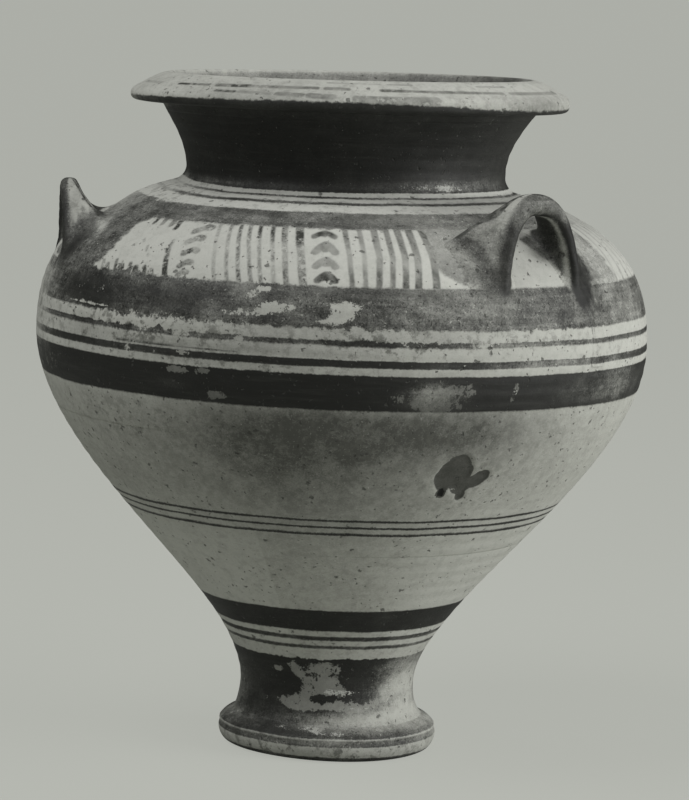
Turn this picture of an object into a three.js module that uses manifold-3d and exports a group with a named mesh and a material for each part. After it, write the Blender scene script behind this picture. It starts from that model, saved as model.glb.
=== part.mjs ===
// A large wheel-thrown storage jar with three upright handles on its shoulder, a wide sloping lip, a
// narrow stem and a rolled foot. It stands on the foot ring at z = 0, its axis is +Z and its sizes
// are in millimetres. It is put together the way a potter does it: the wall in stacked sections with
// level luted joints, then the handles, then a pad of clay pressed round each handle root.

import * as THREE from "three";
import { mergeVertices } from "three/addons/utils/BufferGeometryUtils.js";
import Module from "manifold-3d";

// Radii that the outside of the wall passes through
const stemRadius = 59.5;
const bellyRadius = 208.4;
const neckWaistRadius = 108.4;

// Heights, each counted from the place below it
const footRollTop = 23.2;
const stemRise = 20.8;
const bellyRise = 240;
const neckBaseRise = 98.8;
const neckWaistRise = 12.2;
const neckTopRise = 44;

// How far the wall swings on in its own direction as it leaves or reaches a place
const swingFromFoot = 2.4;
const footSlopeAtTop = 0.82;
const swingToStem = 11;
const swingFromStem = 60;
const swingToBelly = 87;
const swingFromBelly = 52;
const swingToNeck = 70;
const shoulderSlopeAtNeck = 0.28;
const swingToWaist = 5.7;
const swingFromWaist = 17;
const swingToLip = 8.5;
const neckSlopeAtLip = 1.53;

// How much wider the neck is at its base and at its top than at its waist
const neckBaseSpread = 8.1;
const neckTopSpread = 19.1;

// Foot: a thick roll round the bottom of the stem, hollow below
const footRollBeyondStem = 14.5;
const footRollEquator = 8.5;
const footRollEdge = 5.3;
const footRollShoulder = 5.5;
const footRollRise = 7;
const footRollSwell = 4.5;
const footRingWidth = 24.8;
const stemWall = 22.5;

// Lip: an underside nearly level, a round edge, a top that slopes up to a crest round the mouth
const lipOverhang = 21.3;
const lipEdgeRise = 5.5;
const lipEdgeThickness = 12;
const lipEdgeRound = 6;
const lipCrestInset = 4;
const lipCrestRise = 21;
const lipCrestRound = 5.5;

// How far a curve's pull reaches along a round edge, as a share of the edge
const roundPull = 0.6;

// Wall, floor and the gap that a luted joint leaves
const wallThickness = 8;
const floorThickness = 11;
const floorRadius = 30;
const floorCurveRise = 30;
const lutingGap = 0.3;

// Joints between the wall sections, each counted from the nearest place
const stemJointAboveStem = 16;
const lowerJointAboveStem = 106;
const middleJointBelowBelly = 52;
const shoulderJointAboveBelly = 28;
const neckJointAboveBase = 4.2;
const lipJointBelowTop = 5.5;

// Handles: flattened straps that arch up from the shoulder, square to the jar's radius
const handleDegrees = { right: 61, back: 180, left: 299 };
const handleInsideBelly = 13.9;
const handleStand = 52.5;
const handleHalfSpread = 32;
const handleArchSink = 18;
const handleArchFullness = 2.2;
const strapThickness = 13.5;
const strapDepthAtTop = 12;
const strapDepthAtRoot = 32;
const strapSquareness = 2.8;

// Pads of clay smeared round the handle roots
const padBeyondStrap = 9;
const padThickness = 6;

// Fineness of the round forms
const turnSteps = 48;
const archSteps = 18;
const strapSides = 10;

// Places worked out from these sizes
const stemHeight = footRollTop + stemRise;
const bellyHeight = stemHeight + bellyRise;
const neckBaseHeight = bellyHeight + neckBaseRise;
const neckWaistHeight = neckBaseHeight + neckWaistRise;
const neckTopHeight = neckWaistHeight + neckTopRise;
const neckBaseRadius = neckWaistRadius + neckBaseSpread;
const neckTopRadius = neckWaistRadius + neckTopSpread;
const footTopRadius = stemRadius + footRollShoulder;
const footRollRadius = stemRadius + footRollBeyondStem;
const lipRadius = neckTopRadius + lipOverhang;
const stemJoint = stemHeight + stemJointAboveStem;
const lowerJoint = stemHeight + lowerJointAboveStem;
const middleJoint = bellyHeight - middleJointBelowBelly;
const shoulderJoint = bellyHeight + shoulderJointAboveBelly;
const neckJoint = neckBaseHeight + neckJointAboveBase;
const lipJoint = neckTopHeight - lipJointBelowTop;

const wasm = await Module();
wasm.setup();

function point(radius, height) {
  return new THREE.Vector2(radius, height);
}

function curve(start, startPull, endPull, end, steps) {
  return new THREE.CubicBezierCurve(start, startPull, endPull, end).getPoints(steps);
}

// Joins curves that meet end to start, keeping each shared point once.
function chain(...runs) {
  return runs.flatMap((run, i) => (i === 0 ? run : run.slice(1)));
}

// Outside of the wall, from the top of the foot roll to the underside of the lip
const outside = chain(
  curve(
    point(footTopRadius, footRollTop),
    point(footTopRadius - swingFromFoot, footRollTop + swingFromFoot * footSlopeAtTop),
    point(stemRadius, stemHeight - swingToStem),
    point(stemRadius, stemHeight),
    12,
  ),
  curve(
    point(stemRadius, stemHeight),
    point(stemRadius, stemHeight + swingFromStem),
    point(bellyRadius, bellyHeight - swingToBelly),
    point(bellyRadius, bellyHeight),
    120,
  ),
  curve(
    point(bellyRadius, bellyHeight),
    point(bellyRadius, bellyHeight + swingFromBelly),
    point(neckBaseRadius + swingToNeck, neckBaseHeight - swingToNeck * shoulderSlopeAtNeck),
    point(neckBaseRadius, neckBaseHeight),
    100,
  ),
  curve(
    point(neckBaseRadius, neckBaseHeight),
    point(neckBaseRadius - swingToWaist, neckBaseHeight + swingToWaist * shoulderSlopeAtNeck),
    point(neckWaistRadius, neckWaistHeight - neckWaistRise * 0.5),
    point(neckWaistRadius, neckWaistHeight),
    16,
  ),
  curve(
    point(neckWaistRadius, neckWaistHeight),
    point(neckWaistRadius, neckWaistHeight + swingFromWaist),
    point(neckTopRadius - swingToLip, neckTopHeight - swingToLip * neckSlopeAtLip),
    point(neckTopRadius, neckTopHeight),
    40,
  ),
);

// A copy of a curve that lies the given distance from it, outwards where the distance is positive
function parallel(points, distance) {
  return points.map((p, i) => {
    const before = points[Math.max(i - 1, 0)];
    const after = points[Math.min(i + 1, points.length - 1)];
    const along = after.clone().sub(before).normalize();
    return point(p.x + along.y * distance, p.y - along.x * distance);
  });
}

const inside = parallel(outside, -wallThickness);

function radiusAt(points, height) {
  const i = points.findIndex((p, n) => n > 0 && points[n - 1].y <= height && height <= p.y);
  return THREE.MathUtils.mapLinear(height, points[i - 1].y, points[i].y, points[i - 1].x, points[i].x);
}

function shoulderHeightAt(radius) {
  const i = outside.findIndex((p, n) => n > 0 && p.y > bellyHeight && p.x <= radius);
  return THREE.MathUtils.mapLinear(radius, outside[i - 1].x, outside[i].x, outside[i - 1].y, outside[i].y);
}

// Evenly spaced points of a curve between two levels, the first and last exactly on the levels
function stretch(points, low, high, steps) {
  const between = points.filter((p) => p.y > low && p.y < high);
  const first = point(radiusAt(points, low), low);
  const last = point(radiusAt(points, high), high);
  return new THREE.SplineCurve([first, ...between, last]).getSpacedPoints(steps);
}

function finish(colour, roughness) {
  return new THREE.MeshStandardMaterial({ color: colour, roughness, metalness: 0 });
}

const bareClay = () => finish(0x9b9c94, 0.82);
const smokedClay = () => finish(0x7d7f77, 0.8);
const darkPaint = () => finish(0x33342e, 0.62);
const wornPaint = () => finish(0x66685f, 0.74);

const jar = new THREE.Group();
jar.name = "three_handled_jar";

function add(name, geometry, material) {
  const mesh = new THREE.Mesh(geometry, material);
  mesh.name = name;
  jar.add(mesh);
}

// Turns an outline of (radius, height) points round the jar's axis.
function turned(outline) {
  const geometry = new THREE.LatheGeometry(outline, turnSteps);
  geometry.rotateX(Math.PI / 2);
  return geometry;
}

// A ring of wall between two joints
function wallRing(low, high, steps) {
  const outer = stretch(outside, low, high, steps);
  const inner = stretch(inside, low, high, steps).reverse();
  return turned([...outer, ...inner, outer[0]]);
}

// Foot and stem, with a hollow that narrows upwards below the jar's floor
function hollowAt(height) {
  const widest = footRollRadius - footRingWidth;
  const narrowest = stemRadius - stemWall;
  return THREE.MathUtils.mapLinear(height, 0, stemJoint, widest, narrowest);
}

function footRoll() {
  const restingRadius = footRollRadius - footRollEdge;
  const outer = chain(
    curve(
      point(restingRadius, 0),
      point(restingRadius + footRollEdge * roundPull, 0),
      point(footRollRadius, footRollEquator * (1 - roundPull)),
      point(footRollRadius, footRollEquator),
      4,
    ),
    curve(
      point(footRollRadius, footRollEquator),
      point(footRollRadius, footRollEquator + footRollRise),
      point(footTopRadius + footRollSwell, footRollTop - footRollSwell * footSlopeAtTop),
      point(footTopRadius, footRollTop),
      5,
    ),
  );
  const hollow = [point(hollowAt(footRollTop), footRollTop), point(hollowAt(0), 0)];
  return turned([...outer, ...hollow, outer[0]]);
}

function stem() {
  const outer = stretch(outside, footRollTop, stemJoint, 6);
  const hollow = [point(hollowAt(stemJoint), stemJoint), point(hollowAt(footRollTop), footRollTop)];
  return turned([...outer, ...hollow, outer[0]]);
}

// The lowest section closes the jar: it has the floor
function lowerBody() {
  const floorLevel = stemJoint + floorThickness;
  const curveTop = floorLevel + floorCurveRise;
  const outer = stretch(outside, stemJoint, lowerJoint, 6);
  const inner = stretch(inside, curveTop, lowerJoint, 3).reverse();
  const curveStart = inner[inner.length - 1];
  const curveCorner = point(curveStart.x - floorCurveRise * roundPull, floorLevel);
  const floorEdge = point(floorRadius, floorLevel);
  const bowl = new THREE.QuadraticBezierCurve(curveStart, curveCorner, floorEdge).getPoints(4).slice(1);
  return turned([point(0, stemJoint), ...outer, ...inner, ...bowl, point(0, floorLevel)]);
}

// The lip, from the joint at the top of the neck to the crest and back down inside the mouth
function lip() {
  const undersideEnd = point(lipRadius - lipEdgeRound, neckTopHeight + 0.5);
  const edge = point(lipRadius, neckTopHeight + lipEdgeRise);
  const slopeStart = point(lipRadius - lipEdgeRound + 1, neckTopHeight + lipEdgeThickness);
  const crest = point(neckTopRadius - lipCrestInset, neckTopHeight + lipCrestRise);
  const mouth = point(crest.x - lipCrestRound, crest.y - lipCrestRound * 1.8);
  const throat = point(radiusAt(inside, lipJoint), lipJoint);
  const pull = lipEdgeRound * roundPull;
  const lowPull = point(lipRadius - pull / 2, undersideEnd.y);
  const highPull = point(slopeStart.x + pull * 0.7, slopeStart.y - pull * 0.35);
  const slopePull = point(slopeStart.x - pull * 1.7, slopeStart.y + pull * 0.86);
  const crestPull = point(crest.x - lipCrestRound * roundPull, crest.y);
  const outer = chain(
    stretch(outside, lipJoint, neckTopHeight, 2),
    [point(neckTopRadius, neckTopHeight), undersideEnd],
    curve(undersideEnd, lowPull, point(lipRadius, edge.y - pull), edge, 3),
    curve(edge, point(lipRadius, edge.y + pull), highPull, slopeStart, 3),
    curve(slopeStart, slopePull, point(crest.x + pull * 2, crest.y - 0.8), crest, 4),
    curve(crest, crestPull, point(mouth.x + 0.6, mouth.y + pull), mouth, 3),
  );
  return turned([...outer, throat, outer[0]]);
}

// Solids for cutting one piece to fit against another
function toSolid(geometry) {
  const bare = geometry.clone();
  bare.deleteAttribute("normal");
  bare.deleteAttribute("uv");
  const merged = mergeVertices(bare, 1e-4);
  const triVerts = new Uint32Array(merged.index.array);
  const vertProperties = new Float32Array(merged.attributes.position.array);
  return new wasm.Manifold(new wasm.Mesh({ numProp: 3, vertProperties, triVerts }));
}

function toGeometry(solid) {
  const mesh = solid.getMesh();
  const geometry = new THREE.BufferGeometry();
  geometry.setAttribute("position", new THREE.BufferAttribute(mesh.vertProperties, 3));
  geometry.setIndex(new THREE.BufferAttribute(mesh.triVerts, 1));
  const faceted = geometry.toNonIndexed();
  faceted.computeVertexNormals();
  return faceted;
}

// Everything within the shoulder's outside, a luting gap larger, which the handles and pads rest on
function shoulderSeat() {
  const outer = stretch(parallel(outside, lutingGap), middleJoint, neckWaistHeight, 34);
  return toSolid(turned([point(0, middleJoint), ...outer, point(0, neckWaistHeight)]));
}

// A handle is shaped over the y axis, with its outer face at y = -handleOuterRadius, and then
// turned to its place. Its arch starts inside the shoulder, so that the seat trims its roots.
const handleOuterRadius = bellyRadius - handleInsideBelly;
const handleRootHeight = shoulderHeightAt(handleOuterRadius);
const handleTop = handleRootHeight + handleStand;
const archBase = handleRootHeight - handleArchSink;
const archRise = handleTop - strapThickness / 2 - archBase;

// The strap's middle line is a superellipse in the plane of x and z.
class Arch extends THREE.Curve {
  getPoint(t) {
    const turn = Math.PI * (1 - t);
    const power = 2 / handleArchFullness;
    const across = Math.sign(Math.cos(turn)) * Math.abs(Math.cos(turn)) ** power;
    const up = Math.max(Math.sin(turn), 0) ** power;
    return new THREE.Vector3(handleHalfSpread * across, 0, archBase + archRise * up);
  }
}

// How deep the strap is along the jar's radius: it widens inwards as it comes down to the shoulder.
function strapDepthAt(height) {
  const down = THREE.MathUtils.clamp((handleTop - height) / handleStand, 0, 1);
  return THREE.MathUtils.lerp(strapDepthAtTop, strapDepthAtRoot, Math.sin((down * Math.PI) / 2));
}

// A grown strap is larger all round by the given amount.
function strap(grown) {
  const section = new THREE.Shape(
    Array.from({ length: strapSides }, (_, i) => {
      const turn = (2 * Math.PI * (i + 0.5)) / strapSides;
      const power = 2 / strapSquareness;
      const deep = Math.sign(Math.cos(turn)) * Math.abs(Math.cos(turn)) ** power;
      const wide = Math.sign(Math.sin(turn)) * Math.abs(Math.sin(turn)) ** power;
      return point(deep, wide * (strapThickness / 2 + grown));
    }),
  );
  const geometry = new THREE.ExtrudeGeometry(section, { steps: archSteps, extrudePath: new Arch() });
  const places = geometry.getAttribute("position");
  for (let i = 0; i < places.count; i += 1) {
    const halfDepth = strapDepthAt(places.getZ(i)) / 2;
    places.setY(i, halfDepth - handleOuterRadius + places.getY(i) * (halfDepth + grown));
  }
  return geometry;
}

// How far a root's middle stands to the side, where the arch passes the given height
function archReachAt(height) {
  const up = (height - archBase) / archRise;
  return handleHalfSpread * (1 - up ** handleArchFullness) ** (1 / handleArchFullness);
}

// A mound of clay that hugs the shoulder round one root, side -1 or 1, of a handle over the y axis.
// It is a flattened ball bent onto the shoulder, its length running along the wall's curve.
function rootPad(side) {
  const middle = handleOuterRadius - strapDepthAtRoot / 2;
  const across = archReachAt(shoulderHeightAt(middle));
  const outerEnd = Math.hypot(handleOuterRadius, across);
  const innerEnd = Math.hypot(handleOuterRadius - strapDepthAtRoot, across);
  const wall = new THREE.SplineCurve(outside.filter((p) => p.y > bellyHeight && p.y < neckBaseHeight));
  const traced = wall.getSpacedPoints(400);
  const outerPlace = traced.findIndex((p) => p.x <= outerEnd) / 400;
  const innerPlace = traced.findIndex((p) => p.x <= innerEnd) / 400;
  const halfLength = (innerPlace - outerPlace) / 2 + padBeyondStrap / wall.getLength();
  const geometry = new THREE.SphereGeometry(1, 14, 8);
  const places = geometry.getAttribute("position");
  for (let i = 0; i < places.count; i += 1) {
    const along = (outerPlace + innerPlace) / 2 + places.getY(i) * halfLength;
    const place = wall.getPointAt(along);
    const direction = wall.getTangentAt(along);
    const lift = places.getZ(i) * padThickness;
    const aside = places.getX(i) * (strapThickness / 2 + padBeyondStrap);
    const turn = (side * across + aside) / Math.hypot(middle, across);
    const radius = place.x + direction.y * lift;
    places.setXYZ(i, radius * Math.sin(turn), -radius * Math.cos(turn), place.y - direction.x * lift);
  }
  return geometry;
}

// Each handle and pad is turned to its place and then cut to the shoulder, a luting gap off it.
function addHandles() {
  const seat = shoulderSeat();
  for (const [place, degrees] of Object.entries(handleDegrees)) {
    const turn = THREE.MathUtils.degToRad(degrees);
    const fitted = (geometry) => toSolid(geometry.rotateZ(turn)).subtract(seat);
    const strapRoom = toSolid(strap(lutingGap).rotateZ(turn));
    add(`handle_${place}`, toGeometry(fitted(strap(0))), wornPaint());
    add(`root_pad_${place}_near`, toGeometry(fitted(rootPad(-1)).subtract(strapRoom)), wornPaint());
    add(`root_pad_${place}_far`, toGeometry(fitted(rootPad(1)).subtract(strapRoom)), wornPaint());
  }
}

add("foot_roll", footRoll(), darkPaint());
add("foot_stem", stem(), darkPaint());
add("lower_body", lowerBody(), bareClay());
add("middle_body", wallRing(lowerJoint, middleJoint, 4), smokedClay());
add("belly", wallRing(middleJoint, shoulderJoint, 5), wornPaint());
add("shoulder", wallRing(shoulderJoint, neckJoint, 9), bareClay());
add("neck", wallRing(neckJoint, lipJoint, 5), darkPaint());
add("lip", lip(), bareClay());
addHandles();

export default jar;
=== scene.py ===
"""A large wheel-thrown clay storage jar with three upright handles, painted in dark slip.

Shapes are worked out in millimetres in the jar's own frame: the axis is +Z, the foot stands at
z = 0 and azimuth is counted from -Y towards +X. Meshes are made in metres.
"""

import logging
import math
from dataclasses import dataclass, field, replace
from enum import Enum

import bpy
import numpy as np
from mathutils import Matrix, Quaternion, Vector


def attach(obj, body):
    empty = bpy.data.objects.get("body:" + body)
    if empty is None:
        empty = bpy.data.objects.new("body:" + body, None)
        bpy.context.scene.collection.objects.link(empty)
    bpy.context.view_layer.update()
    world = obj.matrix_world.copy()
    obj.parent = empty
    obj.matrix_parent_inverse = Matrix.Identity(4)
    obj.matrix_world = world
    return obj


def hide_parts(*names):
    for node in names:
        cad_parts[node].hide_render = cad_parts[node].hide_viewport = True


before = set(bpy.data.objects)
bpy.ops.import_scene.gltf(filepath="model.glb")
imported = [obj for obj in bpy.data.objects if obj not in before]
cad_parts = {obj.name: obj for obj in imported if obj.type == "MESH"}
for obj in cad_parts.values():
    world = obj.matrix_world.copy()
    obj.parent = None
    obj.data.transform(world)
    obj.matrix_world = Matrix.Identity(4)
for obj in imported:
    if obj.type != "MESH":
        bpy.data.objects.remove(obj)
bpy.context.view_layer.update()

MM = 0.001
FULL_TURN = 2 * math.pi
log = logging.getLogger("jar")


class Side(Enum):
    """Which way a face of the pot looks; the value is its material slot."""

    OUTSIDE = 0
    INSIDE = 1


def smooth(low: float, high: float, value: np.ndarray) -> np.ndarray:
    """Eases from 0 at low to 1 at high.

    Args:
        low: Value at which the result is 0.
        high: Value at which the result is 1.
        value: Values to ease.

    Returns:
        The eased values.
    """
    t = np.clip((value - low) / (high - low), 0.0, 1.0)
    return t * t * (3 - 2 * t)


def bezier(*points: tuple[float, float], steps: int = 60) -> np.ndarray:
    """Samples a cubic Bezier curve given by its four control points.

    Args:
        *points: The four control points as (radius, height).
        steps: Number of spans.

    Returns:
        The sampled (radius, height) rows.
    """
    t = np.linspace(0, 1, steps + 1)[:, None]
    a, b, c, d = (np.array(p, float) for p in points)
    return (1 - t) ** 3 * a + 3 * (1 - t) ** 2 * t * b + 3 * (1 - t) * t**2 * c + t**3 * d


def spaced(points: np.ndarray, gap: float) -> np.ndarray:
    """Samples a polyline again at even spacing, keeping both ends.

    Args:
        points: The (radius, height) rows.
        gap: Wanted spacing in millimetres.

    Returns:
        The evenly spaced rows.
    """
    run = np.concatenate([[0], np.cumsum(np.hypot(*np.diff(points, axis=0).T))])
    count = max(int(round(run[-1] / gap)), 1)
    at = np.linspace(0, run[-1], count + 1)
    return np.stack([np.interp(at, run, points[:, 0]), np.interp(at, run, points[:, 1])], 1)


@dataclass(frozen=True)
class JarShape:
    """The pot's profile in millimetres: the sizes the potter would call out."""

    stem_radius: float = 59.5
    belly_radius: float = 208.4
    neck_waist_radius: float = 108.4
    neck_base_radius: float = 116.5
    neck_top_radius: float = 127.5
    lip_radius: float = 148.8
    foot_radius: float = 74.7
    foot_top_radius: float = 65.0
    foot_top_height: float = 23.2
    stem_height: float = 44.0
    belly_height: float = 284.0
    neck_base_height: float = 382.8
    neck_waist_height: float = 395.0
    neck_top_height: float = 439.0
    top_height: float = 460.0
    wall: float = 8.0
    joints: tuple[float, ...] = (23.2, 60.0, 150.0, 232.0, 312.0, 387.0, 433.5)

    def outside(self) -> np.ndarray:
        """Returns the outside of the wall from the foot roll to the lip's underside."""
        s, b, n = self.stem_radius, self.belly_radius, self.neck_base_radius
        w, t, f = self.neck_waist_radius, self.neck_top_radius, self.foot_top_radius
        low, top = self.foot_top_height, self.neck_top_height
        runs = [
            bezier((f, low), (f - 2.4, low + 1.97), (s, 33), (s, 44), steps=20),
            bezier((s, 44), (s, 104), (b, 197), (b, 284), steps=160),
            bezier((b, 284), (b, 336), (n + 70, 363.2), (n, 382.8), steps=120),
            bezier((n, 382.8), (n - 5.7, 384.4), (w, 388.9), (w, 395), steps=16),
            bezier((w, 395), (w, 412), (t - 8.5, top - 13), (t, top), steps=40),
        ]
        return np.concatenate([runs[0]] + [run[1:] for run in runs[1:]])

    def inside(self) -> np.ndarray:
        """Returns the inside of the wall, the wall's thickness within the outside."""
        out = self.outside()
        along = np.gradient(out, axis=0)
        along /= np.linalg.norm(along, axis=1)[:, None]
        return np.stack([out[:, 0] - along[:, 1] * self.wall, out[:, 1] + along[:, 0] * self.wall], 1)

    def between(self, points: np.ndarray, low: float, high: float) -> np.ndarray:
        """Cuts a profile at two levels.

        Args:
            points: Profile rows that climb.
            low: Lower level.
            high: Upper level.

        Returns:
            The rows between the levels, both ends exactly on them.
        """
        mid = points[(points[:, 1] > low) & (points[:, 1] < high)]
        ends = [np.array([[np.interp(z, points[:, 1], points[:, 0]), z]]) for z in (low, high)]
        return np.concatenate([ends[0], mid, ends[1]])

    def shoulder_height(self, radius: np.ndarray) -> np.ndarray:
        """Returns the height of the shoulder's outside at a radius."""
        out = self.outside()
        top = out[(out[:, 1] >= self.belly_height) & (out[:, 1] <= self.neck_base_height)]
        return np.interp(-np.asarray(radius), -top[:, 0], top[:, 1])


SHAPE = JarShape()


@dataclass(frozen=True)
class Patch:
    """A soft-edged oval place on the pot, by azimuth in degrees and height in millimetres."""

    azimuth: float
    height: float
    half_wide: float
    half_high: float
    strength: float
    tilt: float = 0.0

    def at(self, azimuth: np.ndarray, height: np.ndarray, radius: np.ndarray) -> np.ndarray:
        """Gives the patch's strength at places on the pot.

        Args:
            azimuth: Azimuths in degrees.
            height: Heights in millimetres.
            radius: Radii in millimetres.

        Returns:
            Strengths, which fall off from the middle as a bell.
        """
        return self.strength * np.exp(-self.distance(azimuth, height, radius) ** 2 * 0.9)

    def distance(self, azimuth: np.ndarray, height: np.ndarray, radius: np.ndarray) -> np.ndarray:
        """Gives the distance from the middle, 1 at the patch's edge."""
        turn = np.radians((azimuth - self.azimuth + 180) % 360 - 180)
        across = turn * radius
        up = (height - self.height) * 1.15
        c, s = math.cos(math.radians(self.tilt)), math.sin(math.radians(self.tilt))
        return np.hypot((across * c + up * s) / self.half_wide, (up * c - across * s) / self.half_high)


@dataclass(frozen=True)
class Stroke:
    """One brush stroke: points of (azimuth in degrees, height in millimetres) and a width."""

    points: tuple[tuple[float, float], ...]
    width: float = 3.2
    ink: float = 0.7
    even: float = 0.0

    def distance(self, azimuth: np.ndarray, height: np.ndarray, radius: np.ndarray) -> np.ndarray:
        """Gives the distance from the stroke's edge in millimetres along the wall, negative inside it.

        Args:
            azimuth: Azimuths in degrees.
            height: Heights in millimetres.
            radius: Radii in millimetres.

        Returns:
            Distances in millimetres along the wall.
        """
        slope = 1.45
        best = np.full(azimuth.shape, 99.0)
        for (a0, h0), (a1, h1) in zip(self.points[:-1], self.points[1:]):
            px = np.radians((azimuth - a0 + 180) % 360 - 180) * radius
            py = (height - h0) * slope
            dx, dy = math.radians(a1 - a0) * radius, (h1 - h0) * slope
            t = np.clip((px * dx + py * dy) / np.maximum(dx**2 + dy**2, 1e-9), 0, 1)
            best = np.minimum(best, np.hypot(px - t * dx, py - t * dy))
        return best - self.width / 2


@dataclass(frozen=True)
class ShoulderPattern:
    """The painted zone between the handles: upright strokes and two stacks of chevrons."""

    zone_low: float = 333.5
    zone_high: float = 366.0

    def upright(self, top: float, bottom: float, width: float = 3.2, bow: float = 0.0, ink: float = 0.7) -> Stroke:
        """Makes a stroke down the whole zone.

        Args:
            top: Azimuth at the top, in degrees.
            bottom: Azimuth at the bottom, in degrees.
            width: The stroke's width.
            bow: How far its middle bulges sideways, in degrees.
            ink: How dark its wash is, from 0 to 1.

        Returns:
            The stroke.
        """
        middle = (top + bottom) / 2 + bow
        return Stroke(
            ((top, self.zone_high + 1), (middle, 351.0), (bottom, self.zone_low - 0.5)), width, ink
        )

    def chevron(self, azimuth: float, height: float, half: float, drop: float, width: float,
                fill: float, ink: float = 0.7) -> list[Stroke]:
        """Makes one chevron with its point up.

        Args:
            azimuth: Azimuth of the point, in degrees.
            height: Height of the point.
            half: Half its spread, in degrees.
            drop: How far the arms drop.
            width: The arms' width.
            fill: Width of the blob between the arms.
            ink: How dark its wash is, from 0 to 1.

        Returns:
            The two arms and the blob.
        """
        arms = [Stroke(((azimuth, height), (azimuth + side * half * 0.55, height - drop * 0.40),
                        (azimuth + side * half, height - drop)), width, ink, 0.8) for side in (-1, 1)]
        return arms + [Stroke(((azimuth, height - drop * 0.32), (azimuth, height - drop * 0.48)), fill, ink, 0.8)]

    def strokes(self) -> list[Stroke]:
        """Returns every stroke of the zone, seen and unseen sides."""
        found: list[Stroke] = []
        left_group = ((-9.0, -4.0, 2.8, 0.40), (-6.1, -1.4, 2.9, 0.62), (-3.7, 1.0, 2.9, 0.74), (-1.4, 3.4, 2.7, 0.56),
                      (1.1, 5.3, 2.7, 0.70), (4.1, 7.8, 2.7, 0.66), (6.9, 10.1, 3.7, 0.70), (10.3, 13.2, 5.2, 0.76))
        right_group = ((20.6, 22.3, 3.7, 0.3, 0.58), (23.9, 24.7, 3.5, 0.4, 0.56), (27.2, 27.2, 4.5, 0.5, 0.66),
                       (30.0, 29.7, 3.9, 0.5, 0.66), (32.6, 32.2, 4.6, 0.5, 0.70), (35.3, 34.6, 5.0, 0.5, 0.74),
                       (38.4, 38.1, 5.0, 0.4, 0.74))
        found += [self.upright(top, bottom, width, 0.3, ink) for top, bottom, width, ink in left_group]
        found += [replace(self.upright(*numbers), even=0.65) for numbers in right_group]
        found.append(Stroke(((-17.4, 354.4), (-17.0, 349.0)), 3.0, 0.8))
        found.append(Stroke(((-17.0, 349.0), (-15.9, 341.0), (-14.9, 333.0)), 4.4, 0.98))
        found.append(Stroke(((-20.8, 368.0), (-19.8, 361.8)), 4.4, 0.98))
        found += [Stroke(((a, 368.5), (a + 0.9, 363.4)), width, 0.85)
                  for a, width in ((-23.0, 4.2), (-26.0, 3.6), (-28.8, 3.2))]
        spikes = ((-17.8, 335.6, 4.6, 0.6), (-19.7, 337.4, 3.6, 0.8), (-21.9, 336.2, 5.4, 0.7), (-23.8, 338.6, 3.2, 0.9),
                  (-26.1, 336.4, 5.6, 0.8), (-28.2, 339.6, 3.0, 0.7), (-30.4, 336.0, 4.8, 0.6), (-32.2, 338.2, 3.4, 0.6))
        found += [Stroke(((a, 331.0), (a - 0.9, top)), width, ink) for a, top, width, ink in spikes]
        stack = ((16.3, 363.9, 2.2, 2.2, 4.2, 4.2, 0.66), (16.8, 357.4, 2.0, 4.4, 5.6, 7.4, 0.66),
                 (17.1, 348.8, 1.9, 4.1, 5.4, 7.0, 0.54), (17.4, 340.4, 1.65, 3.9, 5.2, 6.8, 0.80))
        for numbers in stack:
            found += self.chevron(*numbers)
        for azimuth, height, half, tilt, width, ink in ((-12.2, 362.7, 1.8, 2.0, 5.4, 0.60), (-12.1, 356.4, 1.5, 2.0, 5.6, 0.80),
                                                        (-11.5, 349.2, 1.3, 1.5, 5.6, 0.95), (-11.3, 342.0, 1.1, 2.0, 5.2, 0.90),
                                                        (-11.2, 336.0, 0.9, 1.8, 4.6, 0.80)):
            found.append(Stroke(((azimuth - half, height - tilt), (azimuth + half * 0.3, height + 1.0),
                                 (azimuth + half, height + tilt * 0.3)), width, ink))
        found += [
            Stroke(((-24.0, 290.4), (-10.0, 290.6)), 2.6, 0.95), Stroke(((-10.0, 290.6), (2.0, 289.9)), 1.6, 0.9),
            Stroke(((-40.5, 306.4), (-37.5, 303.4)), 1.4, 0.9), Stroke(((-23.0, 350.0), (-22.4, 347.0)), 2.0, 0.6),
            Stroke(((-25.6, 354.0), (-25.0, 352.0)), 1.8, 0.5), Stroke(((-21.5, 345.0), (-21.2, 344.0)), 1.6, 0.5),
        ]
        return found + self.unseen()

    def unseen(self) -> list[Stroke]:
        """Repeats the pattern's rhythm in the two zones that the picture shows little of."""
        found: list[Stroke] = []
        for index in range(7):
            top = 80.5 + index * 4.0
            found.append(self.upright(top + 3.4 - index * 0.5, top - 1.6 + index * 0.2, 3.4, 0.6, 0.30))
        for start in (112.0, 138.0, 205.0, 231.0, 257.0):
            for index in range(6):
                found.append(self.upright(start + index * 3.0, start + index * 3.0 + 0.6, 3.2))
        for azimuth in (132.5, 158.5, 225.5, 251.5):
            for step in range(4):
                found += self.chevron(azimuth, 362.5 - step * 8.4, 2.6, 4.2, 4.4, 7.4)
        return found


@dataclass(frozen=True)
class Arc:
    """One brushed arc on the lip, from one (azimuth in degrees, radius in millimetres) to another."""

    start: tuple[float, float]
    end: tuple[float, float]
    width: float
    ink: float

    def distance(self, azimuth: np.ndarray, radius: np.ndarray) -> np.ndarray:
        """Gives the distance from the arc's edge in millimetres, negative inside it.

        Args:
            azimuth: Azimuths in degrees.
            radius: Radii in millimetres.

        Returns:
            Distances in millimetres along the lip.
        """
        middle = (self.start[0] + self.end[0]) / 2
        around = (azimuth - middle + 180) % 360 - 180
        half = abs(self.end[0] - self.start[0]) / 2
        line = np.interp(around, [-half, half], [self.start[1], self.end[1]])
        past = np.radians(np.clip(np.abs(around) - half, 0, None)) * radius
        return np.hypot(past, (radius - line) * 1.1) - self.width / 2


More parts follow.
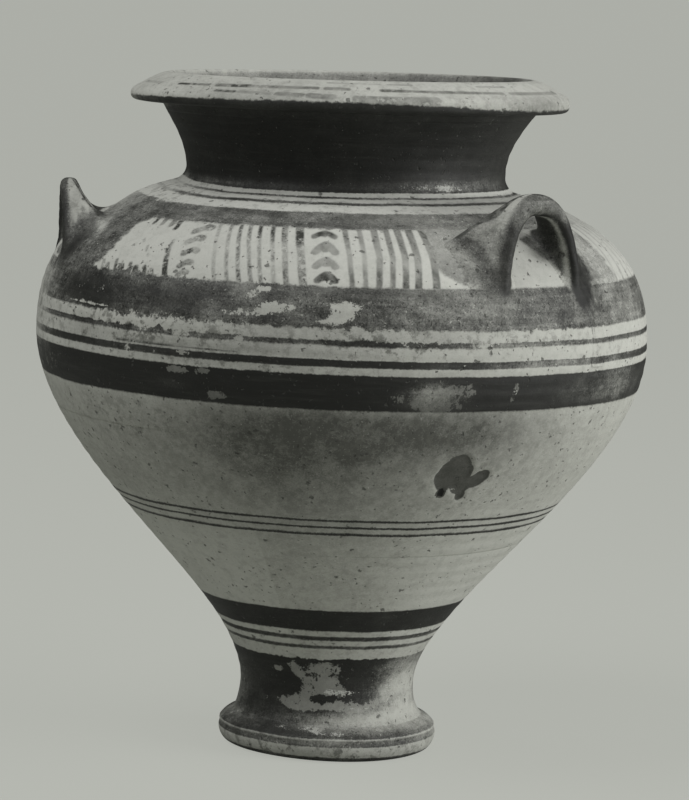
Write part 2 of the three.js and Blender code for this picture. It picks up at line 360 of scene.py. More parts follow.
LIP_ARCS: tuple[Arc, ...] = (
    Arc((-34.0, 138.4), (-21.5, 137.8), 2.6, 0.85), Arc((-18.5, 137.6), (-8.0, 137.1), 3.8, 0.9),
    Arc((-8.0, 137.1), (11.5, 136.9), 3.2, 0.62), Arc((-17.0, 143.6), (-11.0, 144.0), 2.6, 0.9),
    Arc((-9.5, 143.9), (-0.5, 144.4), 3.2, 0.35), Arc((1.5, 144.4), (8.0, 145.0), 4.2, 0.6),
    Arc((10.0, 145.0), (16.0, 145.6), 5.4, 0.55), Arc((29.0, 137.8), (36.0, 138.1), 3.8, 0.8),
    Arc((36.0, 138.1), (57.0, 139.2), 3.2, 0.72), Arc((57.0, 139.2), (66.0, 139.7), 3.2, 0.5),
    Arc((69.0, 140.0), (97.0, 140.9), 3.5, 0.45), Arc((14.0, 137.0), (20.0, 137.4), 3.8, 0.5),
    Arc((31.0, 130.6), (38.0, 130.9), 2.2, 0.55), Arc((59.0, 132.0), (70.0, 132.5), 2.1, 0.45),
    Arc((14.0, 130.0), (29.0, 130.5), 1.9, 0.4), Arc((22.0, 146.6), (43.0, 146.9), 5.8, 0.5),
    Arc((-60.0, 139.0), (-44.0, 138.8), 2.9, 0.4), Arc((120.0, 138.4), (200.0, 138.0), 3.2, 0.6),
    Arc((212.0, 138.0), (268.0, 138.6), 3.2, 0.6), Arc((110.0, 131.0), (170.0, 131.4), 2.2, 0.5),
    Arc((190.0, 131.0), (250.0, 130.6), 2.2, 0.5), Arc((130.0, 144.4), (160.0, 144.6), 3.8, 0.5),
)


@dataclass(frozen=True)
class HandleGround:
    """The dark ground brushed over the shoulder round one handle's roots."""

    edge_near: tuple[tuple[float, float], ...]
    edge_far: tuple[tuple[float, float], ...]
    opening: tuple[float, tuple[tuple[float, float], ...]]
    cover: float = 0.60
    bare: float = 0.05

    def at(self, azimuth: np.ndarray, height: np.ndarray, radius: np.ndarray) -> np.ndarray:
        """Gives the paint's cover on the shoulder.

        Args:
            azimuth: Azimuths in degrees.
            height: Heights in millimetres.
            radius: Radii in millimetres.

        Returns:
            Cover from 0 to 1.
        """
        def inside(low: np.ndarray | float, high: np.ndarray | float) -> np.ndarray:
            middle, half = (low + high) / 2, (high - low) / 2
            return np.radians(half - np.abs((azimuth - middle + 180) % 360 - 180)) * radius

        sides = [np.interp(height, *np.array(rows).T) for rows in (self.edge_near, self.edge_far)]
        depth = inside(*sides) + 1.3 * np.sin(height * 0.62 + azimuth) + 0.9 * np.sin(height * 1.31)
        far = np.interp(height, *np.array(self.opening[1]).T)
        between = smooth(-2.5, 2.5, inside(self.opening[0], far)) * smooth(332.5, 334, height) * smooth(370, 364, height)
        cover = self.cover + (self.bare - self.cover) * between
        return cover * smooth(-2.2, 2.4, depth) * smooth(326, 330, height) * (1 - smooth(370, 374, height))


HANDLE_GROUNDS: tuple[HandleGround, ...] = (
    # Right handle: between 351 and 364 mm the ground reaches into the opening just under the strap; there it is partly
    # dark ground and partly painted shade under the arch.
    HandleGround(((330, 47.5), (333.5, 44.8), (336, 42.9), (340, 40.6), (345, 39.0), (348, 38.4), (356, 38.3), (370, 39.4)),
                 ((330, 76.0), (350, 74.5), (370, 80.0)),
                 (51.0, ((330, 69.6), (342, 67.6), (351, 65.4), (356, 63.6), (361, 62.2), (364, 68.0), (370, 72.0)))),
    HandleGround(((330, 70.0), (370, 74.0)), ((330, 87.0), (352, 88.0), (370, 86.0)), (0.0, ((330, 0.0), (370, 0.0))), 0.42),
    HandleGround(((318, -50.0), (330, -53.0), (334, -57.0), (338, -70.0), (350, -82.0), (370, -94.0)),
                 ((330, -35.0), (336, -35.4), (341, -33.4), (351, -32.6), (361, -33.0), (370, -29.5)), (-71.0, ((330, -65.0), (370, -65.0))), 0.70),
    HandleGround(((330, 159.0), (350, 156.0), (370, 160.0)), ((330, 202.0), (350, 204.0), (370, 199.0)), (172.0, ((330, 188.0), (370, 188.0)))),
)


def handle_ground(azimuth: np.ndarray, height: np.ndarray, radius: np.ndarray) -> np.ndarray:
    """Gives the cover of the ground round all three handles."""
    return np.maximum.reduce([ground.at(azimuth, height, radius) for ground in HANDLE_GROUNDS])


@dataclass(frozen=True)
class HandSurface:
    """What hands, wheel and age did to the pot's form: swells, throwing marks, lean and losses."""

    ridge_depth: float = 0.14
    ridge_pitch: float = 8.6
    swell: float = 0.55
    lean_start: float = 300.0
    lean_full: float = 400.0
    right_rise: float = 0.0140
    front_rise: float = 0.0130
    lip_drop: float = 0.0080
    neck_shift: float = 1.5
    rim_shift: float = 0.5
    stem_shift: float = 0.9
    foot_lift: float = 1.2
    sag_turn: float = -69.5
    view_turn: float = 20.5
    spall: tuple[Patch, ...] = (
        Patch(45.0, 213.4, 10.6, 15.6, 1.0, -24.0),
        Patch(51.3, 207.8, 10.6, 6.0, 1.0, 36.0),
        Patch(48.0, 202.4, 7.4, 5.4, 1.0, 12.0),
        Patch(48.9, 196.6, 3.4, 4.6, 1.0, 0.0),
        Patch(48.2, 211.5, 4.4, 8.0, 1.0, -4.0),
    )
    spall_depth: float = 1.3
    hole: Patch = Patch(43.9, 198.4, 2.8, 3.3, 1.0)
    hole_depth: float = 1.5

    def spall_distance(self, azimuth: np.ndarray, height: np.ndarray, radius: np.ndarray) -> np.ndarray:
        """Gives a signed distance from the flaked scar's edge in millimetres, negative inside."""
        fields = [(p.distance(azimuth, height, radius) - 1) * min(p.half_wide, p.half_high) for p in self.spall]
        ripple = 0.25 * np.sin(height * 0.7 + azimuth * 1.1) + 0.25 * np.sin(height * 0.37 - azimuth * 1.3)
        return np.minimum.reduce(fields) + ripple

    def settle(self, turn: np.ndarray, radius: np.ndarray, height: np.ndarray,
               out_r: np.ndarray, out_z: np.ndarray, side: np.ndarray) -> np.ndarray:
        """Places points of the true form where hands and kiln left them.

        Args:
            turn: Azimuths in radians.
            radius: Radii in millimetres.
            height: Heights in millimetres.
            out_r: Radial part of the direction out of the wall.
            out_z: Upward part of the direction out of the wall.
            side: 1 on the outside, 0 on the inside.

        Returns:
            Positions in millimetres, one row each.
        """
        degrees = np.degrees(turn)
        body = smooth(20, 120, height)
        swell = self.swell * body * (np.cos(2 * turn - 1.1) * 0.6 + 0.4 * np.cos(3 * turn + 0.7))
        swell = swell + 0.25 * body * np.cos(5 * turn + height * 0.021)
        ridge = np.sin(FULL_TURN * height / self.ridge_pitch + turn + 0.8 * np.sin(2 * turn))
        ridge = self.ridge_depth * ridge * (0.6 + 0.4 * np.sin(height * 0.047 + turn))
        ridge = np.where(side > 0.5, ridge, ridge * 3.0) * smooth(30, 70, height) * (1 - smooth(427, 438, height))
        scar = smooth(0.6, -0.8, self.spall_distance(degrees, height, radius)) * side * self.spall_depth
        scar = scar + smooth(1.1, 0.5, self.hole.distance(degrees, height, radius)) * side * self.hole_depth
        push = ridge - scar
        r = radius + swell * (1 - smooth(330, 400, height)) + out_r * push
        z = height + out_z * push
        x, y = r * np.sin(turn), -r * np.cos(turn)
        view = math.radians(self.view_turn)
        right, front = (math.cos(view), math.sin(view)), (math.sin(view), -math.cos(view))
        fade = smooth(self.lean_start, self.lean_full, height)
        carried = np.where(radius > 150, np.minimum(height, SHAPE.shoulder_height(radius)), height)
        pulled = np.exp(-(((degrees - self.sag_turn + 180) % 360 - 180) / 30) ** 2)
        sag = 4.0 * smooth(366, 378, carried) * (1 - smooth(386, 402, carried)) - 1.3 * np.exp(-((carried - 361) / 6.5) ** 2)
        z = z + pulled * sag
        across, near = x * right[0] + y * right[1], x * front[0] + y * front[1]
        edge = smooth(430, 439, height) * (1 - smooth(441, 450, height))
        z = z + fade * (self.right_rise * across + self.front_rise * near) - edge * self.lip_drop * across
        lifted = np.clip(np.cos(turn - view + math.radians(50)), 0, 1) ** 2 * (1 - smooth(0, 16, height))
        z = z + self.foot_lift * lifted
        slide = self.neck_shift * fade + (self.rim_shift - self.neck_shift) * smooth(405, 440, height)
        slide = slide + self.stem_shift * smooth(20, 34, height) * (1 - smooth(58, 90, height)) - 0.3 * (1 - smooth(12, 24, height))
        return np.stack([x - slide * right[0], y - slide * right[1], z], 1)


HANDS = HandSurface()


@dataclass(frozen=True)
class WearMap:
    """Losses, deposits and stains, each a list of soft oval places."""

    worn: tuple[Patch, ...] = (
        Patch(10.0, 322.0, 260, 11, 0.22), Patch(150.0, 322.0, 300, 11, 0.30), Patch(3.0, 327.0, 8, 3.5, 0.75),
        Patch(8.5, 319.0, 12, 5.0, 0.95), Patch(2.0, 314.5, 14, 3.5, 0.85), Patch(20.5, 318.0, 9, 9, 1.0),
        Patch(17.0, 311.5, 8, 3, 0.7), Patch(6.0, 330.0, 6, 2.5, 0.8), Patch(-13.0, 311.0, 14, 2.5, 0.7),
        Patch(-33.0, 310.5, 30, 1.3, 0.9), Patch(-30.0, 318.0, 30, 12, 0.35), Patch(55.0, 318.0, 60, 13, 0.22),
        Patch(36.0, 266.0, 24, 10, 1.0), Patch(44.0, 272.0, 14, 6, 0.9), Patch(38.9, 258.5, 14, 5, 0.9),
        Patch(53.6, 268.0, 7, 9, 0.8), Patch(-9.6, 276.0, 9, 3.4, 1.0), Patch(-3.9, 276.5, 6, 3.0, 0.9),
        Patch(-1.6, 260.5, 11, 4.2, 1.0), Patch(14.0, 268.0, 16, 8, 0.30), Patch(70.0, 267.0, 30, 9, 0.36),
        Patch(-46.0, 268.0, 24, 10, 0.55), Patch(-55.0, 300.0, 40, 34, 0.45), Patch(-18.5, 299.0, 8, 4, 1.0),
        Patch(-9.5, 299.0, 9, 4, 1.0), Patch(2.5, 299.0, 5, 4, 0.8), Patch(-14.5, 286.0, 5, 5, 1.0),
        Patch(-21.0, 286.0, 5, 5, 0.9), Patch(46.0, 299.0, 13, 4, 1.0), Patch(48.0, 371.0, 40, 5, 0.35),
        Patch(-4.0, 299.0, 16, 4, 0.4), Patch(18.0, 299.0, 50, 3, 0.55), Patch(44.0, 286.0, 30, 3, 0.45),
        Patch(-9.0, 286.5, 7, 4, 1.0), Patch(3.0, 287.5, 26, 1.6, 0.55), Patch(19.0, 286.0, 30, 3, 0.35),
        Patch(34.0, 299.0, 12, 3, 0.6), Patch(-8.0, 270.0, 20, 6, 0.35), Patch(62.0, 286.0, 24, 3, 0.5),
        Patch(70.0, 420.0, 30, 22, 0.22), Patch(45.0, 356.0, 9, 12, 0.4), Patch(-30.0, 371.0, 30, 7, 0.35),
        Patch(2.5, 60.5, 8, 7.5, 0.66), Patch(10.0, 57.5, 10, 9.5, 0.66), Patch(-12.5, 60.5, 6, 3.4, 0.85),
        Patch(24.0, 55.0, 14, 14, 0.46), Patch(1.0, 42.0, 10, 3.6, 0.9), Patch(-3.0, 66.0, 6, 4, 0.6),
        Patch(-22.0, 40.0, 12, 4, 0.45), Patch(48.0, 40.0, 22, 4, 0.6), Patch(30.0, 37.0, 18, 3.4, 0.8),
        Patch(21.0, 64.0, 10, 7, 0.75), Patch(20.0, 52.0, 10, 3.4, 0.8), Patch(-4.0, 37.0, 10, 4.4, 1.0),
        Patch(7.0, 35.6, 9, 3.6, 0.9), Patch(10.0, 46.5, 9, 4.5, 0.8), Patch(28.0, 46.0, 11, 3.2, 0.85),
        Patch(66.0, 47.0, 13, 7, 0.9), Patch(83.0, 52.0, 14, 13, 0.9), Patch(40.0, 35.0, 20, 3.6, 0.75),
        Patch(45.0, 27.0, 34, 5.5, 0.72), Patch(84.0, 31.0, 20, 9, 0.85), Patch(-6.0, 22.0, 14, 3.0, 0.72),
        Patch(14.0, 22.5, 9, 3.0, 1.0), Patch(-46.0, 24.5, 9, 3, 0.7), Patch(20.0, 99.0, 12, 5, 0.45),
        Patch(215.0, 45.0, 30, 15, 0.6), Patch(150.0, 268.0, 30, 9, 0.6), Patch(300.0, 262.0, 40, 8, 0.4),
        Patch(250.0, 266.0, 20, 7, 0.75), Patch(200.0, 318.0, 80, 12, 0.4), Patch(130.0, 350.0, 40, 14, 0.3),
    )
    faded: tuple[Patch, ...] = (
        Patch(-60.0, 296.0, 40, 26, 0.55), Patch(-82.0, 325.0, 54, 60, 0.55), Patch(-70.0, 262.0, 30, 22, 0.55),
        Patch(38.0, 266.0, 20, 11, 0.42), Patch(80.0, 268.0, 60, 13, 0.26), Patch(50.0, 320.0, 46, 14, 0.13), Patch(46.0, 350.0, 11, 18, 0.26), Patch(53.0, 338.0, 14, 16, 0.12),
        Patch(84.0, 268.0, 14, 16, 0.20), Patch(96.0, 46.0, 30, 34, 0.42), Patch(112.0, 20.0, 34, 12, 0.42), Patch(-36.0, 318.0, 36, 14, -0.22),
        Patch(-12.0, 321.0, 44, 12, -0.14), Patch(-51.0, 344.0, 12, 14, -0.30), Patch(-46.5, 358.0, 12, 3.2, 0.5, -20.0),
        Patch(-66.0, 320.0, 12, 18, 0.40), Patch(-66.0, 20.0, 16, 8, 0.40), Patch(62.0, 286.0, 62, 4, 0.26),
        Patch(62.0, 299.0, 62, 4, 0.14), Patch(-54.0, 381.5, 30, 5, 0.45),
        Patch(88.0, 318.0, 60, 14, 0.20), Patch(92.0, 291.0, 60, 10, 0.16), Patch(50.5, 339.0, 16, 9, -0.30),
        Patch(52.0, 299.0, 34, 4, 0.26), Patch(60.0, 286.0, 40, 4, 0.14), Patch(4.0, 299.0, 50, 4, 0.16),
        # The negative patch at 60.5 degrees, 361 mm darkens the same spot under the right handle's arch, partly as
        # painted shade.
        Patch(-20.0, 286.0, 50, 4, 0.10), Patch(60.5, 361.0, 9, 4, -0.20), Patch(150.0, 457.0, 120, 9, -0.16),
        Patch(-20.0, 299.0, 60, 4, 0.12), Patch(45.0, 372.0, 34, 7, 0.16), Patch(100.0, 371.0, 50, 9, 0.6), Patch(40.5, 357.0, 12, 12, 0.14), Patch(80.0, 412.0, 40, 24, 0.04),
        Patch(60.0, 390.0, 60, 5, 0.22), Patch(-30.0, 389.0, 60, 3, 0.16), Patch(-12.0, 266.0, 14, 5, 0.12),
        Patch(76.0, 50.0, 24, 24, 0.48), Patch(60.0, 27.0, 40, 8, 0.62), Patch(25.0, 26.0, 26, 6, 0.45),
        Patch(-70.0, 44.0, 24, 26, 0.35), Patch(-40.0, 22.0, 24, 6, 0.22), Patch(15.0, 15.0, 26, 3, 0.30),
        Patch(-66.0, 443.5, 40, 5, 0.55), Patch(-60.0, 372.0, 30, 8, 0.2),
        Patch(210.0, 300.0, 80, 40, 0.25), Patch(160.0, 45.0, 30, 20, 0.3), Patch(-20.0, 30.0, 20, 12, 0.06),
    )
    crust: tuple[Patch, ...] = (
        Patch(48.0, 390.0, 34, 4.4, 0.82), Patch(64.0, 389.0, 20, 3.6, 0.6), Patch(22.0, 388.5, 20, 2.6, 0.5),
        Patch(-30.0, 388.0, 40, 2.8, 0.62), Patch(26.0, 46.0, 9, 2.8, 0.95), Patch(38.0, 46.5, 12, 2.6, 0.72),
        Patch(65.0, 49.0, 9, 6, 0.85), Patch(42.0, 35.2, 22, 3.0, 0.72), Patch(14.0, 22.6, 8, 3.2, 0.95),
        Patch(-5.0, 21.8, 14, 2.6, 0.75), Patch(26.0, 19.8, 16, 2.4, 0.70), Patch(76.0, 25.0, 12, 5, 0.75),
        Patch(55.0, 19.5, 26, 2.4, 0.55), Patch(-48.0, 26.0, 14, 3.0, 0.68), Patch(-12.0, 60.4, 5, 3.0, 0.6),
        Patch(43.0, 362.0, 8, 6, 0.85), Patch(-39.5, 350.0, 4.5, 9, 0.85), Patch(76.0, 268.0, 10, 3, 0.7),
        Patch(12.0, 57.0, 18, 12, 0.50), Patch(-52.0, 22.0, 8, 3, 0.9), Patch(-45.0, 323.0, 3, 4, 0.9),
        Patch(-37.0, 316.0, 4, 4, 0.85), Patch(-30.0, 372.0, 20, 8, 0.42), Patch(53.4, 268.0, 4, 7, 0.95), Patch(43.0, 273.0, 9, 6, 0.62), Patch(32.7, 268.0, 3, 3, 0.8),
        Patch(-9.5, 267.0, 2.0, 1.8, 1.0), Patch(46.8, 200.8, 4.5, 1.6, 1.0, 12.0), Patch(45.6, 207.0, 5, 2.4, 0.62, 30.0),
        Patch(49.5, 203.5, 3.0, 2.0, 0.50),
        Patch(16.0, 40.0, 60, 22, 0.14), Patch(62.0, 340.0, 22, 18, 0.20), Patch(44.0, 233.0, 30, 10, 0.30),
        Patch(-18.0, 312.0, 24, 3, 0.5), Patch(230.0, 390.0, 50, 5.0, 0.5), Patch(200.0, 40.0, 30, 9, 0.6),
        Patch(120.0, 30.0, 30, 9, 0.5), Patch(20.0, 98.0, 22, 7, 0.28), Patch(200.0, 22.0, 40, 4, 0.6),
    )
    # Dark stains; the large patches on the belly's front middle (azimuth 6 to 46, 130 to 244 mm) are partly smoke stain
    # and partly painted shade where the side lamps' light falls off.
    smoke: tuple[Patch, ...] = (
        Patch(22.0, 241.0, 100, 24, 0.76), Patch(10.0, 224.0, 80, 38, 0.48), Patch(46.0, 244.0, 44, 20, 0.46), Patch(-22.0, 240.0, 70, 22, 0.12),
        Patch(14.0, 300.0, 80, 22, 0.34), Patch(-12.0, 288.0, 60, 12, 0.40), Patch(-34.0, 292.0, 30, 14, 0.34), Patch(38.0, 303.0, 24, 6, 0.22), Patch(62.0, 225.0, 60, 40, 0.15),
        Patch(72.0, 345.0, 44, 30, 0.12), Patch(134.0, 457.0, 22, 10, 0.8), Patch(80.0, 448.0, 40, 7, 0.5), Patch(65.0, 352.0, 9, 5, 0.7),
        Patch(-8.0, 449.0, 50, 7, 0.32), Patch(10.0, 6.0, 90, 6, 0.22), Patch(6.0, 130.0, 60, 46, 0.12),
        Patch(-34.0, 200.0, 60, 40, 0.24), Patch(190.0, 215.0, 90, 50, 0.30), Patch(16.0, 194.0, 90, 36, 0.40),
        Patch(-60.0, 300.0, 50, 30, 0.22), Patch(8.0, 158.0, 60, 26, 0.10),
    )

    calm: tuple[Patch, ...] = (
        Patch(43.5, 352.0, 20, 14, 1.0), Patch(40.5, 340.0, 12, 12, 0.8), Patch(135.0, 457.0, 300, 9, 0.8),
        Patch(-10.0, 371.0, 60, 8, 0.35), Patch(12.0, 330.0, 50, 4, 0.4),
    )
    grime: tuple[Patch, ...] = (
        Patch(-14.0, 299.0, 66, 13, 1.0), Patch(28.0, 299.0, 56, 11, 0.95), Patch(-32.0, 291.0, 30, 16, 0.6), Patch(56.0, 300.0, 34, 8, 0.60),
        Patch(0.0, 281.5, 90, 3, 0.7), Patch(70.0, 444.5, 40, 3, 0.8), Patch(20.0, 445.0, 60, 2, 0.5),
        Patch(78.0, 292.0, 30, 10, 0.30), Patch(46.0, 214.0, 44, 36, 0.36), Patch(18.0, 238.0, 110, 18, 0.42),
        Patch(-20.0, 236.0, 60, 16, 0.45), Patch(10.0, 7.0, 90, 9, 0.9), Patch(-44.0, 380.0, 30, 12, 0.60),
        Patch(8.0, 378.0, 60, 8, 0.25), Patch(50.0, 378.0, 40, 8, 0.25), Patch(-58.0, 300.0, 50, 40, 0.5),
        Patch(10.0, 82.0, 80, 14, 0.25), Patch(200.0, 240.0, 200, 60, 0.35), Patch(10.0, 140.0, 120, 50, 0.10),
    )
    ragged: tuple[Patch, ...] = (
        Patch(-14.0, 307.0, 62, 8, 1.0), Patch(24.0, 307.0, 40, 7, 0.7), Patch(60.0, 307.0, 50, 6, 0.45),
        Patch(-26.0, 333.0, 36, 6, 0.8), Patch(20.0, 366.0, 90, 5, 0.22), Patch(36.0, 299.0, 26, 5, 0.30),
        Patch(-38.0, 362.0, 20, 14, 0.8), Patch(5.0, 279.0, 60, 3, 0.22), Patch(10.0, 72.0, 70, 5, 0.30),
        Patch(200.0, 307.0, 200, 9, 0.6), Patch(10.0, 333.0, 60, 4, 0.25),
    )

    @staticmethod
    def total(patches: tuple[Patch, ...], azimuth: np.ndarray, height: np.ndarray, radius: np.ndarray) -> np.ndarray:
        """Adds up a list of patches, limited to -0.45 and 1."""
        return np.clip(sum(p.at(azimuth, height, radius) for p in patches), -0.45, 1)


WEAR = WearMap()


@dataclass(frozen=True)
class Band:
    """A painted band between two heights, or two radii on the lip, with its cover from 0 to 1."""

    low: float
    high: float
    cover: float = 1.0


WALL_BANDS_AND_FOOT_SHADOW: tuple[Band, ...] = (
    # The first band, up to 3.6 mm round the foot's bottom edge, is a painted shadow where the foot meets the floor; the
    # rest are bands of dark slip.
    Band(-5.0, 3.6, 0.80), Band(11.2, 16.0, 0.78), Band(16.6, 70.2, 0.95), Band(77.9, 80.4, 0.80),
    Band(84.2, 87.4, 0.84), Band(91.4, 107.8, 0.94), Band(166.4, 168.2, 0.90), Band(171.7, 173.4, 0.90),
    Band(176.7, 178.4, 0.90), Band(255.7, 279.0, 1.0), Band(283.8, 288.4, 0.95), Band(297.0, 300.8, 0.86),
    Band(307.6, 333.5, 0.71), Band(366.0, 375.3, 0.70), Band(379.2, 380.7, 0.80), Band(382.7, 383.9, 0.74),
    Band(386.3, 470.0, 0.96),
)
LIP_EDGE: tuple[tuple[float, float], ...] = (
    (-180, 444.0), (-90, 443.0), (-50, 444.2), (-20, 445.3), (0, 446.3), (20, 446.7), (45, 445.2), (61, 443.5),
    (78, 442.6), (110, 442.6), (180, 444.0),
)


class Graph:
    """A short way to write shader nodes."""

    def __init__(self, name: str) -> None:
        """Starts a material with an empty node tree."""
        self.material = bpy.data.materials.new(name)
        self.material.use_nodes = True
        self.tree = self.material.node_tree
        self.tree.nodes.clear()
        self.place = self.tree.nodes.new("ShaderNodeTexCoord").outputs["Object"]

    def node(self, kind: str, inputs: dict[str | int, object], **settings: object) -> bpy.types.Node:
        """Adds a node, sets its options and plugs or fills its inputs.

        Args:
            kind: The node's type name.
            inputs: Input name or number to a socket or a value.
            **settings: Properties of the node.

        Returns:
            The node.
        """
        made = self.tree.nodes.new(kind)
        for key, value in settings.items():
            setattr(made, key, value)
        for key, value in inputs.items():
            if isinstance(value, bpy.types.NodeSocket):
                self.tree.links.new(value, made.inputs[key])
            else:
                made.inputs[key].default_value = value
        return made

    def math(self, operation: str, a: object, b: object = 0.0, clamp: bool = False) -> bpy.types.NodeSocket:
        """Returns the result of a math node."""
        return self.node("ShaderNodeMath", {0: a, 1: b}, operation=operation, use_clamp=clamp).outputs[0]

    def stretched(self, x: float, y: float, z: float) -> bpy.types.NodeSocket:
        """Returns the object's coordinates stretched along each axis."""
        return self.node("ShaderNodeMapping", {"Vector": self.place, "Scale": (x, y, z)}).outputs[0]

    def noise(self, scale: float, detail: float = 3.0, rough: float = 0.55,
              vector: bpy.types.NodeSocket | None = None, shift: float = 0.0) -> bpy.types.NodeSocket:
        """Returns noise of about 0 to 1.

        Args:
            scale: Features per metre.
            detail: Number of finer layers.
            rough: Strength of the finer layers.
            vector: Coordinates, the object's own where left out.
            shift: Moves the noise so that two of one scale differ.

        Returns:
            The noise value.
        """
        source = self.place if vector is None else vector
        if shift:
            source = self.node("ShaderNodeVectorMath", {0: source, 1: (shift, shift * 0.7, -shift)}, operation="ADD").outputs[0]
        values = {"Vector": source, "Scale": scale, "Detail": detail, "Roughness": rough}
        return self.node("ShaderNodeTexNoise", values).outputs["Fac"]

    def blend(self, *parts: tuple[bpy.types.NodeSocket, float]) -> bpy.types.NodeSocket:
        """Returns the weighted sum of several values."""
        total = self.math("MULTIPLY", *parts[0])
        for value, weight in parts[1:]:
            total = self.node("ShaderNodeMath", {0: value, 1: weight, 2: total}, operation="MULTIPLY_ADD").outputs[0]
        return total

    def ease(self, value: object, low: object, high: object, to_low: float = 0.0, to_high: float = 1.0) -> bpy.types.NodeSocket:
        """Returns a value eased between two limits."""
        inputs = {"Value": value, "From Min": low, "From Max": high, "To Min": to_low, "To Max": to_high}
        return self.node("ShaderNodeMapRange", inputs, interpolation_type="SMOOTHSTEP").outputs[0]

    def attribute(self, name: str) -> bpy.types.NodeSocket:
        """Returns a number that the mesh carries at each point."""
        return self.node("ShaderNodeAttribute", {}, attribute_name=name).outputs["Fac"]

    def mix(self, share: object, a: object, b: object) -> bpy.types.NodeSocket:
        """Returns a mix of two colours."""
        made = self.node("ShaderNodeMix", {}, data_type="RGBA")
        for index, value in ((0, share), (6, a), (7, b)):
            if isinstance(value, bpy.types.NodeSocket):
                self.tree.links.new(value, made.inputs[index])
            else:
                made.inputs[index].default_value = value
        return made.outputs[2]

    def bands(self, value: bpy.types.NodeSocket, bands: tuple[Band, ...], soft: float = 0.45) -> bpy.types.NodeSocket:
        """Returns the cover of painted bands along a value in millimetres.

        Args:
            value: Height or radius in millimetres.
            bands: The bands, lowest first.
            soft: Width of a band's soft edge.

        Returns:
            The paint's cover from 0 to 1.
        """
        total: bpy.types.NodeSocket | None = None
        for start in range(0, len(bands), 7):
            group = bands[start:start + 7]
            low, high = group[0].low - 2, group[-1].high + 2
            share = self.node("ShaderNodeMapRange", {"Value": value, "From Min": low, "From Max": high}).outputs[0]
            ramp = self.node("ShaderNodeValToRGB", {"Fac": share})
            stops: list[tuple[float, float]] = []
            for band in group:
                stops += [(band.low - soft / 2, 0), (band.low + soft / 2, band.cover),
                          (band.high - soft / 2, band.cover), (band.high + soft / 2, 0)]
            elements = ramp.color_ramp.elements
            for index, (at, cover) in enumerate(stops):
                place = (at - low) / (high - low)
                element = elements[index] if index < len(elements) else elements.new(place)
                element.position = place
            for element, (at, cover) in zip(elements, stops):
                element.position = (at - low) / (high - low)
                element.color = (cover, cover, cover, 1)
            total = ramp.outputs["Color"] if total is None else self.math("MAXIMUM", total, ramp.outputs["Color"])
        return total

    def surface(self, colour: object, roughness: object, height: bpy.types.NodeSocket, depth: float) -> None:
        """Ends the material in a clay surface with bump.

        Args:
            colour: The colour.
            roughness: The roughness.
            height: Relief from 0 to 1.
            depth: Depth of that relief in metres.
        """
        bump = self.node("ShaderNodeBump", {"Height": height, "Distance": depth, "Strength": 1.0})
        shader = self.node("ShaderNodeBsdfPrincipled", {"Base Color": colour, "Roughness": roughness, "Normal": bump.outputs[0]})
        shader.inputs["Specular IOR Level"].default_value = 0.32
        self.node("ShaderNodeOutputMaterial", {"Surface": shader.outputs[0]})


@dataclass(frozen=True)
class Tones:
    """The greys of clay, paint and deposits, as linear colours."""

    clay: tuple[float, float, float, float] = (0.435, 0.440, 0.402, 1)
    clay_dark: tuple[float, float, float, float] = (0.275, 0.278, 0.250, 1)
    reserved: tuple[float, float, float, float] = (0.465, 0.470, 0.432, 1)
    smoke: tuple[float, float, float, float] = (0.075, 0.076, 0.067, 1)
    paint: tuple[float, float, float, float] = (0.0080, 0.0083, 0.0068, 1)
    paint_thin: tuple[float, float, float, float] = (0.125, 0.127, 0.112, 1)
    wash: tuple[float, float, float, float] = (0.030, 0.031, 0.026, 1)
    crust: tuple[float, float, float, float] = (0.46, 0.465, 0.43, 1)
    scar: tuple[float, float, float, float] = (0.040, 0.041, 0.035, 1)
    grime: tuple[float, float, float, float] = (0.120, 0.122, 0.107, 1)


TONES = Tones()


class Region(Enum):
    """Which part of the pot a painted finish is for."""

    WALL = "painted_wall"
    LIP = "painted_lip"


@dataclass(frozen=True)
class Grain:
    """The noises that one material's layers share."""

    fine: bpy.types.NodeSocket
    middle: bpy.types.NodeSocket
    blotch: bpy.types.NodeSocket
    broad: bpy.types.NodeSocket
    streak: bpy.types.NodeSocket
    shake: bpy.types.NodeSocket

    @classmethod
    def of(cls, g: Graph) -> "Grain":
        """Makes the noises of a material."""
        wobble = g.math("SUBTRACT", g.noise(24, 2, 0.5), 0.5)
        ragged = g.math("SUBTRACT", g.noise(480, 3, 0.6), 0.5)
        return cls(
            g.noise(900, 4, 0.65), g.noise(230, 4, 0.6, shift=3.1), g.noise(64, 5, 0.62, shift=7.9),
            g.noise(30, 3, 0.55, shift=5.7), g.noise(1.0, 4, 0.62, vector=g.stretched(22, 22, 300)),
            g.blend((wobble, 1.4), (ragged, 1.1)),
        )


